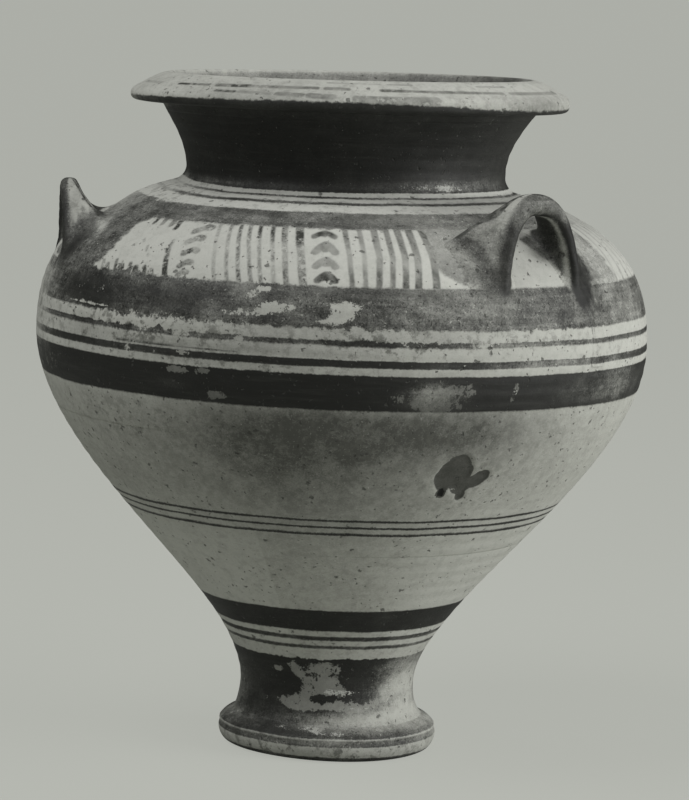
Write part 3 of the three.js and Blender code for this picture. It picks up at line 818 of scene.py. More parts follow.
@dataclass(frozen=True)
class PaintedClay:
    """Fired clay with bands and strokes of dark slip, worn, stained and crusted, with some light and shade painted into
    its colour.
    """

    region: Region

    def material(self) -> bpy.types.Material:
        """Builds the material and returns it."""
        g = Graph(self.region.value)
        grain = Grain.of(g)
        cover = self.cover(g, grain)
        clay = self.washed(g, self.clay(g, grain), cover, grain)
        film = self.film(g, cover, grain)
        loss = self.flaked(g, grain)
        paint = g.mix(g.ease(grain.streak, 0.46, 0.80, 0.0, 0.12), TONES.paint, TONES.paint_thin)
        kept = g.math("SUBTRACT", 1.0, g.attribute("stain"))
        bare = g.math("MULTIPLY", film, g.math("SUBTRACT", 1.0, g.math("MULTIPLY", loss, kept)), clamp=True)
        colour = g.mix(bare, clay, paint)
        # Dark wash line along each handle's back edge: partly dark paint, partly painted shade on the strap's inward
        # edge face.
        edge_paint_and_shade = g.math("ADD", g.attribute("edge_paint_and_shade"), grain.shake)
        colour = g.mix(g.math("MULTIPLY", g.ease(edge_paint_and_shade, 0.8, -0.6), g.ease(grain.middle, 0.35, 0.62, 1.0, 0.55)), colour, TONES.wash)
        colour = self.scarred(g, colour, grain)
        crust = self.crust(g, grain)
        colour = g.mix(crust, colour, TONES.crust)
        pit = self.pits(g)
        colour = g.mix(g.math("MULTIPLY", pit, 0.7), colour, TONES.scar)
        roughness = g.blend((bare, -0.18), (grain.fine, 0.14), (crust, 0.1))
        relief = self.relief(g, grain, bare, crust, pit)
        g.surface(colour, g.math("ADD", roughness, 0.74), relief, 0.0012)
        return g.material

    def cover(self, g: Graph, grain: Grain) -> bpy.types.NodeSocket:
        """Returns where and how thick the paint was laid, from 0 to 1, with the painted shadow on the foot's bottom
        edge counted in.
        """
        ragged = g.math("MULTIPLY", g.math("SUBTRACT", g.noise(150, 5, 0.7, shift=41.0), 0.5), g.attribute("ragged"))
        height = g.math("ADD", g.math("ADD", g.attribute("height"), grain.shake), ragged)
        if self.region is Region.LIP:
            nibbled = g.math("MULTIPLY", g.math("SUBTRACT", grain.middle, 0.5), 3.4)
            below = g.ease(g.math("ADD", height, nibbled), 447.1, 445.0, 0.0, 0.92)
            inside = g.ease(g.math("ADD", g.attribute("reach"), nibbled), 123.6, 120.0, 0.0, 0.44)
            return g.math("MAXIMUM", inside, below)
        return g.math("MAXIMUM", g.bands(height, WALL_BANDS_AND_FOOT_SHADOW, 0.6), g.attribute("ground"))

    def film(self, g: Graph, cover: bpy.types.NodeSocket, grain: Grain) -> bpy.types.NodeSocket:
        """Returns the paint's film after fading: whole where laid thick, a speckled veil where thin."""
        left = g.math("SUBTRACT", cover, g.attribute("faded"))
        left = g.math("MULTIPLY", left, g.ease(cover, 0.02, 0.12), clamp=True)
        body = g.blend((grain.broad, 0.22), (grain.blotch, 0.24), (grain.middle, 0.12), (grain.fine, 0.22), (grain.streak, 0.20))
        thin = g.ease(left, 0.94, 0.72)
        rough = g.math("SUBTRACT", 1.0, g.math("MULTIPLY", g.attribute("even"), 0.75))
        speckled = g.math("MULTIPLY", thin, rough)
        gain = g.math("ADD", g.math("MULTIPLY", speckled, 1.7), 0.7)
        uneven = g.math("MULTIPLY", g.math("SUBTRACT", body, 0.5), gain)
        dark = g.math("MULTIPLY", g.ease(g.noise(640, 3, 0.62, shift=27.0), 0.56, 0.66, 0.0, 0.20), speckled)
        light = g.math("MULTIPLY", g.ease(g.noise(520, 4, 0.66, shift=31.0), 0.60, 0.68, 0.0, 0.34), speckled)
        veil = g.math("SUBTRACT", g.math("ADD", g.math("ADD", left, uneven), dark), light)
        return g.math("MULTIPLY", g.ease(veil, 0.0, 1.0), g.ease(left, 0.02, 0.14))

    def flaked(self, g: Graph, grain: Grain) -> bpy.types.NodeSocket:
        """Returns where the paint has flaked off to the clay."""
        chips = g.blend((g.noise(110, 6, 0.66, shift=2.7), 0.52), (grain.fine, 0.24), (grain.middle, 0.24))
        limit = g.math("SUBTRACT", 0.70, g.math("MULTIPLY", g.attribute("worn"), 0.27))
        flecks = g.ease(g.noise(620, 3, 0.6, shift=15.0), 0.705, 0.735, 0.0, 0.55)
        return g.math("MAXIMUM", g.ease(chips, limit, g.math("ADD", limit, 0.028)), flecks)

    def washed(self, g: Graph, clay: bpy.types.NodeSocket, cover: bpy.types.NodeSocket,
               grain: Grain) -> bpy.types.NodeSocket:
        """Returns the clay with the brush strokes on it, a thin uneven wash that ends under the bands."""
        edge = g.math("ADD", g.attribute("stroke"), g.math("MULTIPLY", grain.shake, 0.7))
        patchy = g.ease(g.blend((grain.blotch, 0.42), (grain.middle, 0.34), (grain.fine, 0.24)), 0.38, 0.60, 1.36, 0.42)
        worn = g.ease(g.noise(230, 4, 0.66, shift=21.0), 0.56, 0.62, 1.0, 0.30)
        share = g.math("MULTIPLY", g.ease(edge, 0.8, -0.9), g.attribute("ink"))
        even = g.attribute("even")
        level = g.ease(grain.blotch, 0.35, 0.65, 1.1, 0.8)
        mottled = g.math("MULTIPLY", g.math("MULTIPLY", patchy, worn), g.math("SUBTRACT", 1.0, even))
        mottled = g.math("ADD", mottled, g.math("MULTIPLY", level, even))
        share = g.math("MULTIPLY", g.math("MULTIPLY", share, mottled), g.ease(cover, 0.7, 0.2), clamp=True)
        return g.mix(share, clay, TONES.wash)

    def clay(self, g: Graph, grain: Grain) -> bpy.types.NodeSocket:
        """Returns the clay's colour with stains, smoke, and painted light and shade."""
        tone = g.blend((grain.middle, 0.30), (grain.blotch, 0.20), (grain.broad, 0.18), (grain.fine, 0.32))
        clay = g.mix(g.ease(tone, 0.38, 0.66, 0.1, 0.75), TONES.clay, TONES.clay_dark)
        # Mixes the clay toward the pale reserved tone; on the lower body this is painted light, which leaves its front
        # darker.
        light = g.math("MULTIPLY", g.attribute("light"), g.ease(tone, 0.42, 0.64, 1.0, 0.72))
        clay = g.mix(light, clay, TONES.reserved)
        # Smoke darkens the clay; the large patches on the belly's front middle are partly painted shade.
        stain = g.blend((grain.middle, 0.3), (grain.blotch, 0.4), (grain.fine, 0.3))
        smoke = g.math("MULTIPLY", g.attribute("smoke"), g.ease(stain, 0.38, 0.62, 0.78, 1.18), clamp=True)
        clay = g.mix(smoke, clay, TONES.smoke)
        soiled = g.ease(g.noise(135, 6, 0.7, shift=51.0), 0.50, 0.62, 0.0, 1.0)
        clay = g.mix(g.math("MULTIPLY", soiled, g.attribute("grime"), clamp=True), clay, TONES.grime)
        clay = g.mix(g.ease(g.noise(560, 3, 0.6, shift=9.3), 0.62, 0.70, 0.0, 0.42), clay, TONES.clay_dark)
        return g.mix(g.ease(g.noise(430, 3, 0.6, shift=19.3), 0.66, 0.72, 0.0, 0.34), clay, TONES.reserved)

    def crust(self, g: Graph, grain: Grain) -> bpy.types.NodeSocket:
        """Returns where the pale deposit lies."""
        flake = g.blend((g.noise(150, 5, 0.68, shift=4.4), 0.5), (grain.fine, 0.5))
        limit = g.math("SUBTRACT", 0.80, g.math("MULTIPLY", g.attribute("crust"), 0.34))
        return g.ease(flake, limit, g.math("ADD", limit, 0.05), 0.0, 0.85)

    def scarred(self, g: Graph, colour: bpy.types.NodeSocket, grain: Grain) -> bpy.types.NodeSocket:
        """Returns the colour with the dark, mottled floor of the flaked scar, and the hole painted with the black paint
        tone as its shade.
        """
        edge = g.math("ADD", g.attribute("scar"), g.math("MULTIPLY", grain.shake, 0.6))
        floor = g.ease(g.blend((grain.blotch, 0.4), (grain.middle, 0.3), (grain.fine, 0.3)), 0.40, 0.60, 0.15, 1.0)
        # Deepest in the hole the floor goes to the black paint tone: painted shade inside the hole.
        floor = g.mix(g.ease(edge, -9.0, -12.0), g.mix(floor, TONES.scar, TONES.smoke), TONES.paint)
        return g.mix(g.ease(edge, 0.3, -0.3), colour, floor)

    def pits(self, g: Graph) -> bpy.types.NodeSocket:
        """Returns scattered pits and dark specks of three sizes with uneven outlines."""
        bend = g.node("ShaderNodeTexNoise", {"Vector": g.place, "Scale": 380.0, "Detail": 2.0}).outputs["Color"]
        place = g.node("ShaderNodeVectorMath", {0: bend, 1: (0.0046, 0.0046, 0.0046), 2: g.place},
                       operation="MULTIPLY_ADD").outputs[0]
        patchy = g.math("MULTIPLY", g.math("SUBTRACT", g.noise(22, 2, 0.5, shift=33.0), 0.5), 1.1)
        total: bpy.types.NodeSocket | None = None
        for scale, rarity, small, large in ((75.0, 0.56, 0.02, 0.16), (125.0, 0.42, 0.04, 0.22), (260.0, 0.46, 0.06, 0.26)):
            cells = g.node("ShaderNodeTexVoronoi", {"Vector": place, "Scale": scale, "Randomness": 1.0})
            parts = g.node("ShaderNodeSeparateColor", {0: cells.outputs["Color"]}).outputs
            chosen = g.math("GREATER_THAN", g.math("ADD", parts[0], patchy), rarity)
            size = g.ease(parts[1], 0.0, 1.0, small, large)
            dot = g.math("MULTIPLY", chosen, g.ease(cells.outputs["Distance"], size, g.math("MULTIPLY", size, 0.5)))
            total = dot if total is None else g.math("MAXIMUM", total, dot)
        return total

    def relief(self, g: Graph, grain: Grain, bare: bpy.types.NodeSocket, crust: bpy.types.NodeSocket,
               pit: bpy.types.NodeSocket) -> bpy.types.NodeSocket:
        """Returns the surface's relief from grain, wheel marks, paint, crust and pits."""
        return g.blend((grain.fine, 0.10), (grain.middle, 0.12), (grain.streak, 0.12), (bare, 0.03), (crust, 0.2), (pit, -0.45))


@dataclass(frozen=True)
class InnerClay:
    """Unpainted clay inside the pot and under its foot, with wiping marks."""

    name: str = "inner_clay"

    def material(self) -> bpy.types.Material:
        """Builds the material and returns it."""
        g = Graph(self.name)
        fine = g.noise(800, 4, 0.65)
        middle = g.noise(120, 4, 0.6)
        wiped = g.noise(1.0, 3, 0.6, vector=g.stretched(7, 7, 210))
        share = g.ease(g.math("ADD", g.math("MULTIPLY", middle, 0.5), g.math("MULTIPLY", wiped, 0.5)), 0.38, 0.68)
        colour = g.mix(share, TONES.clay_dark, TONES.clay)
        colour = g.mix(g.ease(g.noise(260, 4, 0.7, shift=2.0), 0.62, 0.7, 0.0, 0.6), colour, TONES.smoke)
        relief = g.math("ADD", g.math("MULTIPLY", fine, 0.3), g.math("ADD", g.math("MULTIPLY", middle, 0.3), g.math("MULTIPLY", wiped, 0.3)))
        g.surface(colour, g.math("ADD", 0.78, g.math("MULTIPLY", fine, 0.15)), relief, 0.0010)
        return g.material


@dataclass
class Finishes:
    """The pot's materials, built once and shared by its pieces."""

    wall: bpy.types.Material = field(default_factory=lambda: PaintedClay(Region.WALL).material())
    lip: bpy.types.Material = field(default_factory=lambda: PaintedClay(Region.LIP).material())
    inner: bpy.types.Material = field(default_factory=lambda: InnerClay().material())


def mesh_piece(name: str, points: np.ndarray, faces: list[tuple[int, ...]] | np.ndarray, sides: np.ndarray,
               values: dict[str, np.ndarray], finishes: list[bpy.types.Material]) -> bpy.types.Object:
    """Makes one object from points in millimetres.

    Args:
        name: The piece's name.
        points: Positions in millimetres.
        faces: Corner numbers of each face.
        sides: Material slot of each face.
        values: Numbers that the mesh carries at each point, by name.
        finishes: One material for each slot.

    Returns:
        The object, linked to the scene.
    """
    mesh = bpy.data.meshes.new(name)
    mesh.from_pydata((points * MM).tolist(), [], faces if isinstance(faces, list) else faces.tolist())
    mesh.polygons.foreach_set("use_smooth", [True] * len(mesh.polygons))
    mesh.polygons.foreach_set("material_index", np.asarray(sides, dtype=np.int32))
    for key, numbers in values.items():
        layer = mesh.attributes.new(key, "FLOAT", "POINT")
        layer.data.foreach_set("value", np.asarray(numbers, dtype=np.float32))
    mesh.set_sharp_from_angle(angle=math.radians(62))
    mesh.update()
    made = bpy.data.objects.new(name, mesh)
    for finish in finishes:
        mesh.materials.append(finish)
    bpy.context.scene.collection.objects.link(made)
    return made


@dataclass(frozen=True)
class Outline:
    """A closed or axis-ended profile: rows of (radius, height) with the side each span faces."""

    rows: np.ndarray
    sides: list[Side]
    closed: bool = True


class Thrown:
    """A piece turned on the wheel: an outline carried round the axis, then settled by hand."""

    steps: int = 720

    def __init__(self, name: str, slot: str, outline: Outline) -> None:
        """Keeps the piece's name, material slot and outline."""
        self.name = name
        self.slot = slot
        self.outline = outline

    def build(self, finishes: list[bpy.types.Material]) -> bpy.types.Object:
        """Makes the mesh and dresses it.

        Args:
            finishes: The outside and inside materials.

        Returns:
            The object.
        """
        rows, sides = self.outline.rows, self.outline.sides
        count, closed = len(rows), self.outline.closed
        face_out = np.array([1.0 if s is Side.OUTSIDE else 0.0 for s in sides])
        point_out = np.maximum(face_out, np.roll(face_out, 1))
        along = self.along(rows, point_out)
        turn = np.linspace(0, FULL_TURN, self.steps, endpoint=False)
        grid_turn = np.tile(turn, count)
        radius, height, out_r, out_z, side = np.repeat([*rows.T, along[:, 1], -along[:, 0], point_out], self.steps, axis=1)
        points = HANDS.settle(grid_turn, radius, height, out_r, out_z, side)
        points[radius < 1e-6, :2] = 0
        faces, slots = self.faces(count, closed, face_out)
        values = self.values(np.degrees(grid_turn), height, radius)
        return mesh_piece(self.name, points, faces, slots, values, finishes)

    def along(self, rows: np.ndarray, point_out: np.ndarray) -> np.ndarray:
        """Gives the profile's direction at each row, from the wall's true form at a joint.

        Args:
            rows: The (radius, height) rows.
            point_out: 1 at rows on the outside.

        Returns:
            Unit directions, with the outside of the wall on their right.
        """
        along = np.roll(rows, -1, axis=0) - np.roll(rows, 1, axis=0)
        along /= np.maximum(np.linalg.norm(along, axis=1), 1e-9)[:, None]
        for line, on_side, way in ((SHAPE.outside(), 1.0, 1.0), (SHAPE.inside(), 0.0, -1.0)):
            slope = np.gradient(line, axis=0) * way
            slope /= np.linalg.norm(slope, axis=1)[:, None]
            for i in np.flatnonzero(point_out == on_side):
                nearest = np.argmin(np.hypot(*(line - rows[i]).T))
                if np.hypot(*(line[nearest] - rows[i])) < 1.6:
                    along[i] = slope[nearest]
        return along

    def faces(self, count: int, closed: bool, face_out: np.ndarray) -> tuple[np.ndarray, np.ndarray]:
        """Joins neighbouring rings with four-cornered faces.

        Args:
            count: Number of rings.
            closed: Whether the last ring joins the first.
            face_out: 1 where the span after a ring faces outside.

        Returns:
            The faces and their material slots.
        """
        spans = count if closed else count - 1
        ring = np.arange(self.steps)
        nxt = (ring + 1) % self.steps
        quads = []
        for i in range(spans):
            a, b = i * self.steps, ((i + 1) % count) * self.steps
            quads.append(np.stack([a + ring, a + nxt, b + nxt, b + ring], 1))
        slots = np.repeat(np.where(face_out[:spans] > 0.5, Side.OUTSIDE.value, Side.INSIDE.value), self.steps)
        return np.concatenate(quads), slots

    def values(self, azimuth: np.ndarray, height: np.ndarray, radius: np.ndarray) -> dict[str, np.ndarray]:
        """Works out what the mesh carries for the materials.

        Args:
            azimuth: Azimuths in degrees.
            height: Heights in millimetres before settling.
            radius: Radii in millimetres before settling.

        Returns:
            Name to numbers.
        """
        stroke, ink, even = self.brushed(azimuth, height, radius)
        # Lightens the bare clay toward the pale reserved tone: half from 280 mm, 0.85 above 333 mm. The third term is
        # painted light: it lightens the lower body from 70 to 200 mm at every azimuth except 0 to 58 degrees (fading in
        # from 30 to 58), so the lower body's front stays darker as painted shade.
        light = smooth(330, 336, height) * 0.85 + smooth(278, 282, height) * (1 - smooth(330, 336, height)) * 0.5
        light = light + 0.8 * smooth(70, 90, height) * smooth(200, 150, height) * smooth(30, 58, azimuth % 360)
        if self.name.endswith("lip"):
            light = np.full_like(height, 0.1)
            radius = radius + 1.5 * np.cos(np.radians(azimuth - 262))
            height = height - np.interp((azimuth + 180) % 360 - 180, *np.array(LIP_EDGE).T) + 446.0
        return {
            "height": height,
            "reach": radius,
            "stroke": stroke,
            "edge_paint_and_shade": np.full_like(height, 9.0),
            "ink": ink,
            "even": np.maximum(even, WEAR.total(WEAR.calm, azimuth, height, radius)),
            "ground": handle_ground(azimuth, height, radius),
            "worn": WEAR.total(WEAR.worn, azimuth, height, radius),
            "faded": WEAR.total(WEAR.faded, azimuth, height, radius),
            "crust": WEAR.total(WEAR.crust, azimuth, height, radius),
            "smoke": WEAR.total(WEAR.smoke, azimuth, height, radius),
            # Inside the hole the scar value drops by 20, so the material paints the hole black as its shade.
            "scar": np.clip(HANDS.spall_distance(azimuth, height, radius), -9, 9)
                    - 20 * smooth(1.2, 0.8, HANDS.hole.distance(azimuth, height, radius)),
            "light": light,
            "stain": 0.62 * smooth(250, 256, height) * smooth(284, 281, height) + 0.46 * smooth(74, 72, height),
            "grime": 0.10 + WEAR.total(WEAR.grime, azimuth, height, radius) + (0.15 if self.name.endswith("lip") else 0.0),
            "ragged": 24 * WEAR.total(WEAR.ragged, azimuth, height, radius),
        }

    def brushed(self, azimuth: np.ndarray, height: np.ndarray, radius: np.ndarray) -> tuple[np.ndarray, ...]:
        """Finds the nearest brush stroke of the shoulder or the lip.

        Args:
            azimuth: Azimuths in degrees.
            height: Heights in millimetres.
            radius: Radii in millimetres.

        Returns:
            Distance from the stroke's edge, the stroke's ink and how even its wash is.
        """
        best, ink, even = np.full(azimuth.shape, 9.0), np.zeros(azimuth.shape), np.zeros(azimuth.shape)
        on_lip = self.name.endswith("lip")
        near = radius > 122 if on_lip else (height > 280) & (height < 375)
        for mark in (LIP_ARCS if on_lip else ShoulderPattern().strokes()) if near.any() else ():
            place = (azimuth[near], radius[near]) if on_lip else (azimuth[near], height[near], radius[near])
            found = mark.distance(*place)
            high = height[near]
            pooled = 0.80 + 0.46 * smooth(354, 364, high) + 0.36 * smooth(346, 336, high)
            pooled = 1.0 if on_lip else pooled + 0.13 * np.sin(high * 0.41 + azimuth[near] * 2.3)
            ink[near] = np.where(found < best[near], np.minimum(mark.ink * pooled, 1.0), ink[near])
            even[near] = np.where(found < best[near], 0.0 if on_lip else mark.even, even[near])
            best[near] = np.minimum(best[near], found)
        return best, ink, even


@dataclass(frozen=True)
class ThrownBody:
    """The eight turned pieces of the pot, from the foot roll to the lip."""

    shape: JarShape = SHAPE
    outer_gap: float = 1.7
    inner_gap: float = 5.0

    def ring(self, low: float, high: float) -> Outline:
        """Makes the outline of a ring of wall between two joints."""
        outer = spaced(self.shape.between(self.shape.outside(), low, high), self.outer_gap)
        inner = spaced(self.shape.between(self.shape.inside(), low, high), self.inner_gap)[::-1]
        sides = [Side.OUTSIDE] * (len(outer) - 1) + [Side.INSIDE] * (len(inner) + 1)
        return Outline(np.concatenate([outer, inner]), sides)

    def hollow(self, height: float) -> float:
        """Returns the radius of the hollow below the floor at a height."""
        return float(np.interp(height, [0, 60], [49.2, 37.0]))

    def foot_roll(self) -> Outline:
        """Makes the outline of the thick ring that the jar stands on."""
        f, t, low = self.shape.foot_radius, self.shape.foot_top_radius, self.shape.foot_top_height
        outer = np.concatenate([
            bezier((f - 8.2, 0), (f - 3.8, 0.3), (f - 0.3, 4.4), (f, 10.8), steps=40),
            bezier((f, 10.8), (f, 17.2), (f - 2.2, low - 2.9), (t, low), steps=40)[1:],
        ])
        outer = spaced(outer, 1.0)
        outer[:, 0] += 0.45 * np.exp(-((outer[:, 1] - 16.6) / 1.3) ** 2) - 0.5 * np.exp(-((outer[:, 1] - 13.9) / 1.5) ** 2)
        inner = np.array([[self.hollow(low), low], [self.hollow(12), 12.0], [self.hollow(3) + 0.5, 2.0], [self.hollow(0) + 3, 0.0]])
        return Outline(np.concatenate([outer, inner]), [Side.OUTSIDE] * (len(outer) - 1) + [Side.INSIDE] * 5)

    def stem(self) -> Outline:
        """Makes the outline of the narrow stem."""
        low = self.shape.foot_top_height
        outer = spaced(self.shape.between(self.shape.outside(), low, 60), 1.2)
        inner = np.array([[self.hollow(60), 60.0], [self.hollow(44), 44.0], [self.hollow(low), low]])
        return Outline(np.concatenate([outer, inner]), [Side.OUTSIDE] * (len(outer) - 1) + [Side.INSIDE] * 4)

    def lower_body(self) -> Outline:
        """Makes the outline of the lowest wall section with the floor."""
        outer = spaced(self.shape.between(self.shape.outside(), 60, 150), self.outer_gap)
        inner = spaced(self.shape.between(self.shape.inside(), 101, 150), self.inner_gap)[::-1]
        start = inner[-1]
        t = np.linspace(0, 1, 12)[1:, None]
        corner, edge = np.array([start[0] - 18, 71.0]), np.array([30.0, 71.0])
        bowl = (1 - t) ** 2 * start + 2 * (1 - t) * t * corner + t**2 * edge
        rows = np.concatenate([[[0.02, 60.0], [30.0, 60.0]], outer, inner, bowl, [[15.0, 70.6], [0.02, 70.4]]])
        sides = [Side.INSIDE] * 2 + [Side.OUTSIDE] * (len(outer) - 1)
        sides += [Side.INSIDE] * (len(rows) - len(sides))
        return Outline(rows, sides)

    def lip(self) -> Outline:
        """Makes the outline of the broad lip, its round edge and the crest round the mouth."""
        s = self.shape
        n, top, low = s.neck_top_radius, s.neck_top_height, s.joints[6]
        under, edge = (s.lip_radius - 6, top + 0.5), (s.lip_radius, top + 5.5)
        slope, crest, mouth = (s.lip_radius - 5, top + 12), (n - 4, s.top_height), (n - 9.5, s.top_height - 9.9)
        throat_outer = s.between(s.outside(), low, top)
        throat_inner = float(np.interp(low, s.inside()[:, 1], s.inside()[:, 0]))
        outer = np.concatenate([
            throat_outer,
            bezier((n, top), (n + 3, top + 1.2), (under[0] - 8, under[1] + 0.1), under, steps=14)[1:],
            bezier(under, (s.lip_radius - 1.8, under[1]), (s.lip_radius, edge[1] - 3.6), edge, steps=12)[1:],
            bezier(edge, (s.lip_radius, edge[1] + 3.6), (slope[0] + 2.5, slope[1] - 1.3), slope, steps=12)[1:],
            bezier(slope, (slope[0] - 6, slope[1] + 3.1), (crest[0] + 7, crest[1] - 0.8), crest, steps=24)[1:],
            bezier(crest, (crest[0] - 3.6, crest[1]), (mouth[0] + 0.6, mouth[1] + 4), mouth, steps=12)[1:],
            bezier(mouth, (mouth[0] - 0.8, mouth[1] - 6), (throat_inner + 3, low + 6), (throat_inner, low), steps=14)[1:],
        ])
        rows = np.concatenate([spaced(throat_outer, 1.2)[:-1], spaced(outer[len(throat_outer) - 1:], 1.2)])
        sides = [Side.OUTSIDE] * (len(rows) - 1) + [Side.INSIDE]
        return Outline(rows, sides)

    def build(self, finishes: Finishes) -> list[bpy.types.Object]:
        """Makes every turned piece, ties it to the root body and hides the CAD part of the node that it stands for.

        Args:
            finishes: The pot's materials.

        Returns:
            The objects.
        """
        j = self.shape.joints
        plan: list[tuple[str, str, Outline, bpy.types.Material]] = [
            ("foot_roll", "dark_paint", self.foot_roll(), finishes.wall),
            ("foot_stem", "dark_paint", self.stem(), finishes.wall),
            ("lower_body", "bare_clay", self.lower_body(), finishes.wall),
            ("middle_body", "bare_clay", self.ring(j[2], j[3]), finishes.wall),
            ("belly", "worn_paint", self.ring(j[3], j[4]), finishes.wall),
            ("shoulder", "bare_clay", self.ring(j[4], j[5]), finishes.wall),
            ("neck", "dark_paint", self.ring(j[5], j[6]), finishes.wall),
            ("lip", "bare_clay", self.lip(), finishes.lip),
        ]
        made = []
        for node, slot, outline, skin in plan:
            piece = Thrown(f"thrown_{node}", slot, outline).build([skin, finishes.inner])
            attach(piece, "root")
            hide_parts(node)
            log.info("%s: %d points", piece.name, len(piece.data.vertices))
            made.append(piece)
        return made


@dataclass(frozen=True)
class LoopHandle:
    """One upright strap handle with the clay that is smeared round its roots."""

    place: str
    degrees: float
    outer_radius: float = 194.5
    stand: float = 52.5
    depth_top: float = 12.0
    depth_root: float = 32.0
    depth_drop: float = 52.0
    depth_power: float = 1.8
    half_spread: float = 32.0
    sink: float = 18.0
    fullness: float = 2.2
    thickness: float = 13.5
    squareness: float = 2.8
    smear_reach: tuple[float, float, float, float] = (17.0, 4.0, 14.0, 3.5)
    smear_rise: tuple[float, float, float, float] = (15.0, 6.0, 12.0, 12.0)
    lean: float = 0.0
    far_fullness: float = 2.2
    far_sweep: tuple[float, float] = (0.55, 1.0)
    corner: tuple[float, float] = (5.0, 3.0)
    corner_rise: float = 24.0
    corner_power: float = 1.5
    worn_leg: int = 0
    # Place and width of the dark line along the back edge, partly dark paint and partly painted shade.
    edge_paint_and_shade: tuple[float, float] = (0.72, 0.08)
    far_corner_pale: float = 0.0
    pale: tuple[float, float] = (0.5, 20.0)
    arch_steps: int = 400
    ring_steps: int = 96

    def build(self, finishes: Finishes) -> bpy.types.Object:
        """Makes the handle, ties it to the root body and hides the CAD parts of its nodes.

        Args:
            finishes: The pot's materials.

        Returns:
            The object.
        """
        root = float(SHAPE.shoulder_height(self.outer_radius))
        top = root + self.stand
        base = root - self.sink
        rise = top - self.thickness / 2 - base
        swing = math.pi * (1 - np.linspace(0.03, 0.97, self.arch_steps + 1))
        power = 2 / np.where(np.sign(np.cos(swing)) == self.worn_leg, self.fullness, self.far_fullness)
        across = self.half_spread * np.sign(np.cos(swing)) * np.abs(np.cos(swing)) ** power
        line = spaced(np.stack([across, base + rise * np.sin(swing) ** power], 1), 0.65)
        line[:, 0] += self.lean * (line[:, 1] - base) / (top - base)
        tangent = np.gradient(line, axis=0)
        tangent /= np.linalg.norm(tangent, axis=1)[:, None]
        side = np.stack([-tangent[:, 1], tangent[:, 0]], 1)
        down = np.clip((top - line[:, 1]) / self.depth_drop, 0, 1)
        depth = (self.depth_top + (self.depth_root - self.depth_top) * np.sin(down * math.pi / 2) ** self.depth_power)[:, None]
        ring = np.linspace(0, FULL_TURN, self.ring_steps, endpoint=False)
        p = 2 / self.squareness
        deep = np.sign(np.cos(ring)) * np.abs(np.cos(ring)) ** p
        wide = np.sign(np.sin(ring)) * np.abs(np.sin(ring)) ** p
        half = self.thickness / 2 * (1 + 0.05 * np.sin(np.arange(len(line)) * 0.026 + self.degrees))[:, None]
        x = line[:, 0:1] + side[:, 0:1] * wide * half
        z = line[:, 1:2] + side[:, 1:2] * wide * half
        y = depth / 2 - self.outer_radius + deep * depth / 2
        return self.dress(*self.spread_roots(x, y, z, line, depth), finishes)

    def spread_roots(self, x: np.ndarray, y: np.ndarray, z: np.ndarray, line: np.ndarray,
                     depth: np.ndarray) -> tuple[np.ndarray, ...]:
        """Sweeps the strap out into the shoulder where it nears it, as smeared clay does.

        Args:
            x: Sideways places.
            y: Places along the jar's radius.
            z: Heights.
            line: The strap's middle line.
            depth: The strap's depth along it.

        Returns:
            The places after smearing, how far a point lies on the worn leg's flank, how near its back edge, and
            how much paler or darker the other leg's front is.
        """
        above = z - SHAPE.shoulder_height(np.hypot(x, y))
        out = np.sign(line[:, 0:1])
        away = (x - line[:, 0:1]) * out / (self.thickness / 2)
        inward = (y - (depth / 2 - self.outer_radius)) / (depth / 2)
        length = np.maximum(np.hypot(away, inward), 1e-6)
        away, inward = away / length, inward / length
        shares = [np.clip(way, 0, 1) ** 2 for way in (away, -away, inward, -inward)]
        both = (2 * np.clip(away, 0, 1) * np.clip(inward, 0, 1)) ** 1.5
        both = both * np.where(out == self.worn_leg, 1.0, self.far_sweep[0])
        reach = sum(share * far for share, far in zip(shares, self.smear_reach)) 
        rise = sum(share * far for share, far in zip(shares, self.smear_rise))
        left = 1 - np.clip(above / rise, 0, 1)
        reach = reach * np.where(out == self.worn_leg, 1.0, self.far_sweep[1])
        push = reach * (1 - np.sqrt(1 - left**2)) * (1 - both)
        swept = both * (1 - np.clip(above / self.corner_rise, 0, 1)) ** self.corner_power
        x, y = x + out * (away * push + self.corner[0] * swept), y + inward * push + self.corner[1] * swept
        z = SHAPE.shoulder_height(np.hypot(x, y)) + np.maximum(above, -2.0)
        on_leg = out == self.worn_leg
        edge = np.where(on_leg, inward * smooth(-0.3, 0.2, away), -1.0)
        corner = (2 * np.clip(-away, 0, 1) * np.clip(-inward, 0, 1)) ** 14
        seam = np.where(on_leg, 0.0, self.far_corner_pale * corner - 0.30 * smooth(0.3, 0.8, -inward) * smooth(-0.75, -0.2, away))
        return x, y, z, smooth(0.2, 0.75, away) * smooth(-0.85, -0.35, inward) * on_leg, edge, seam

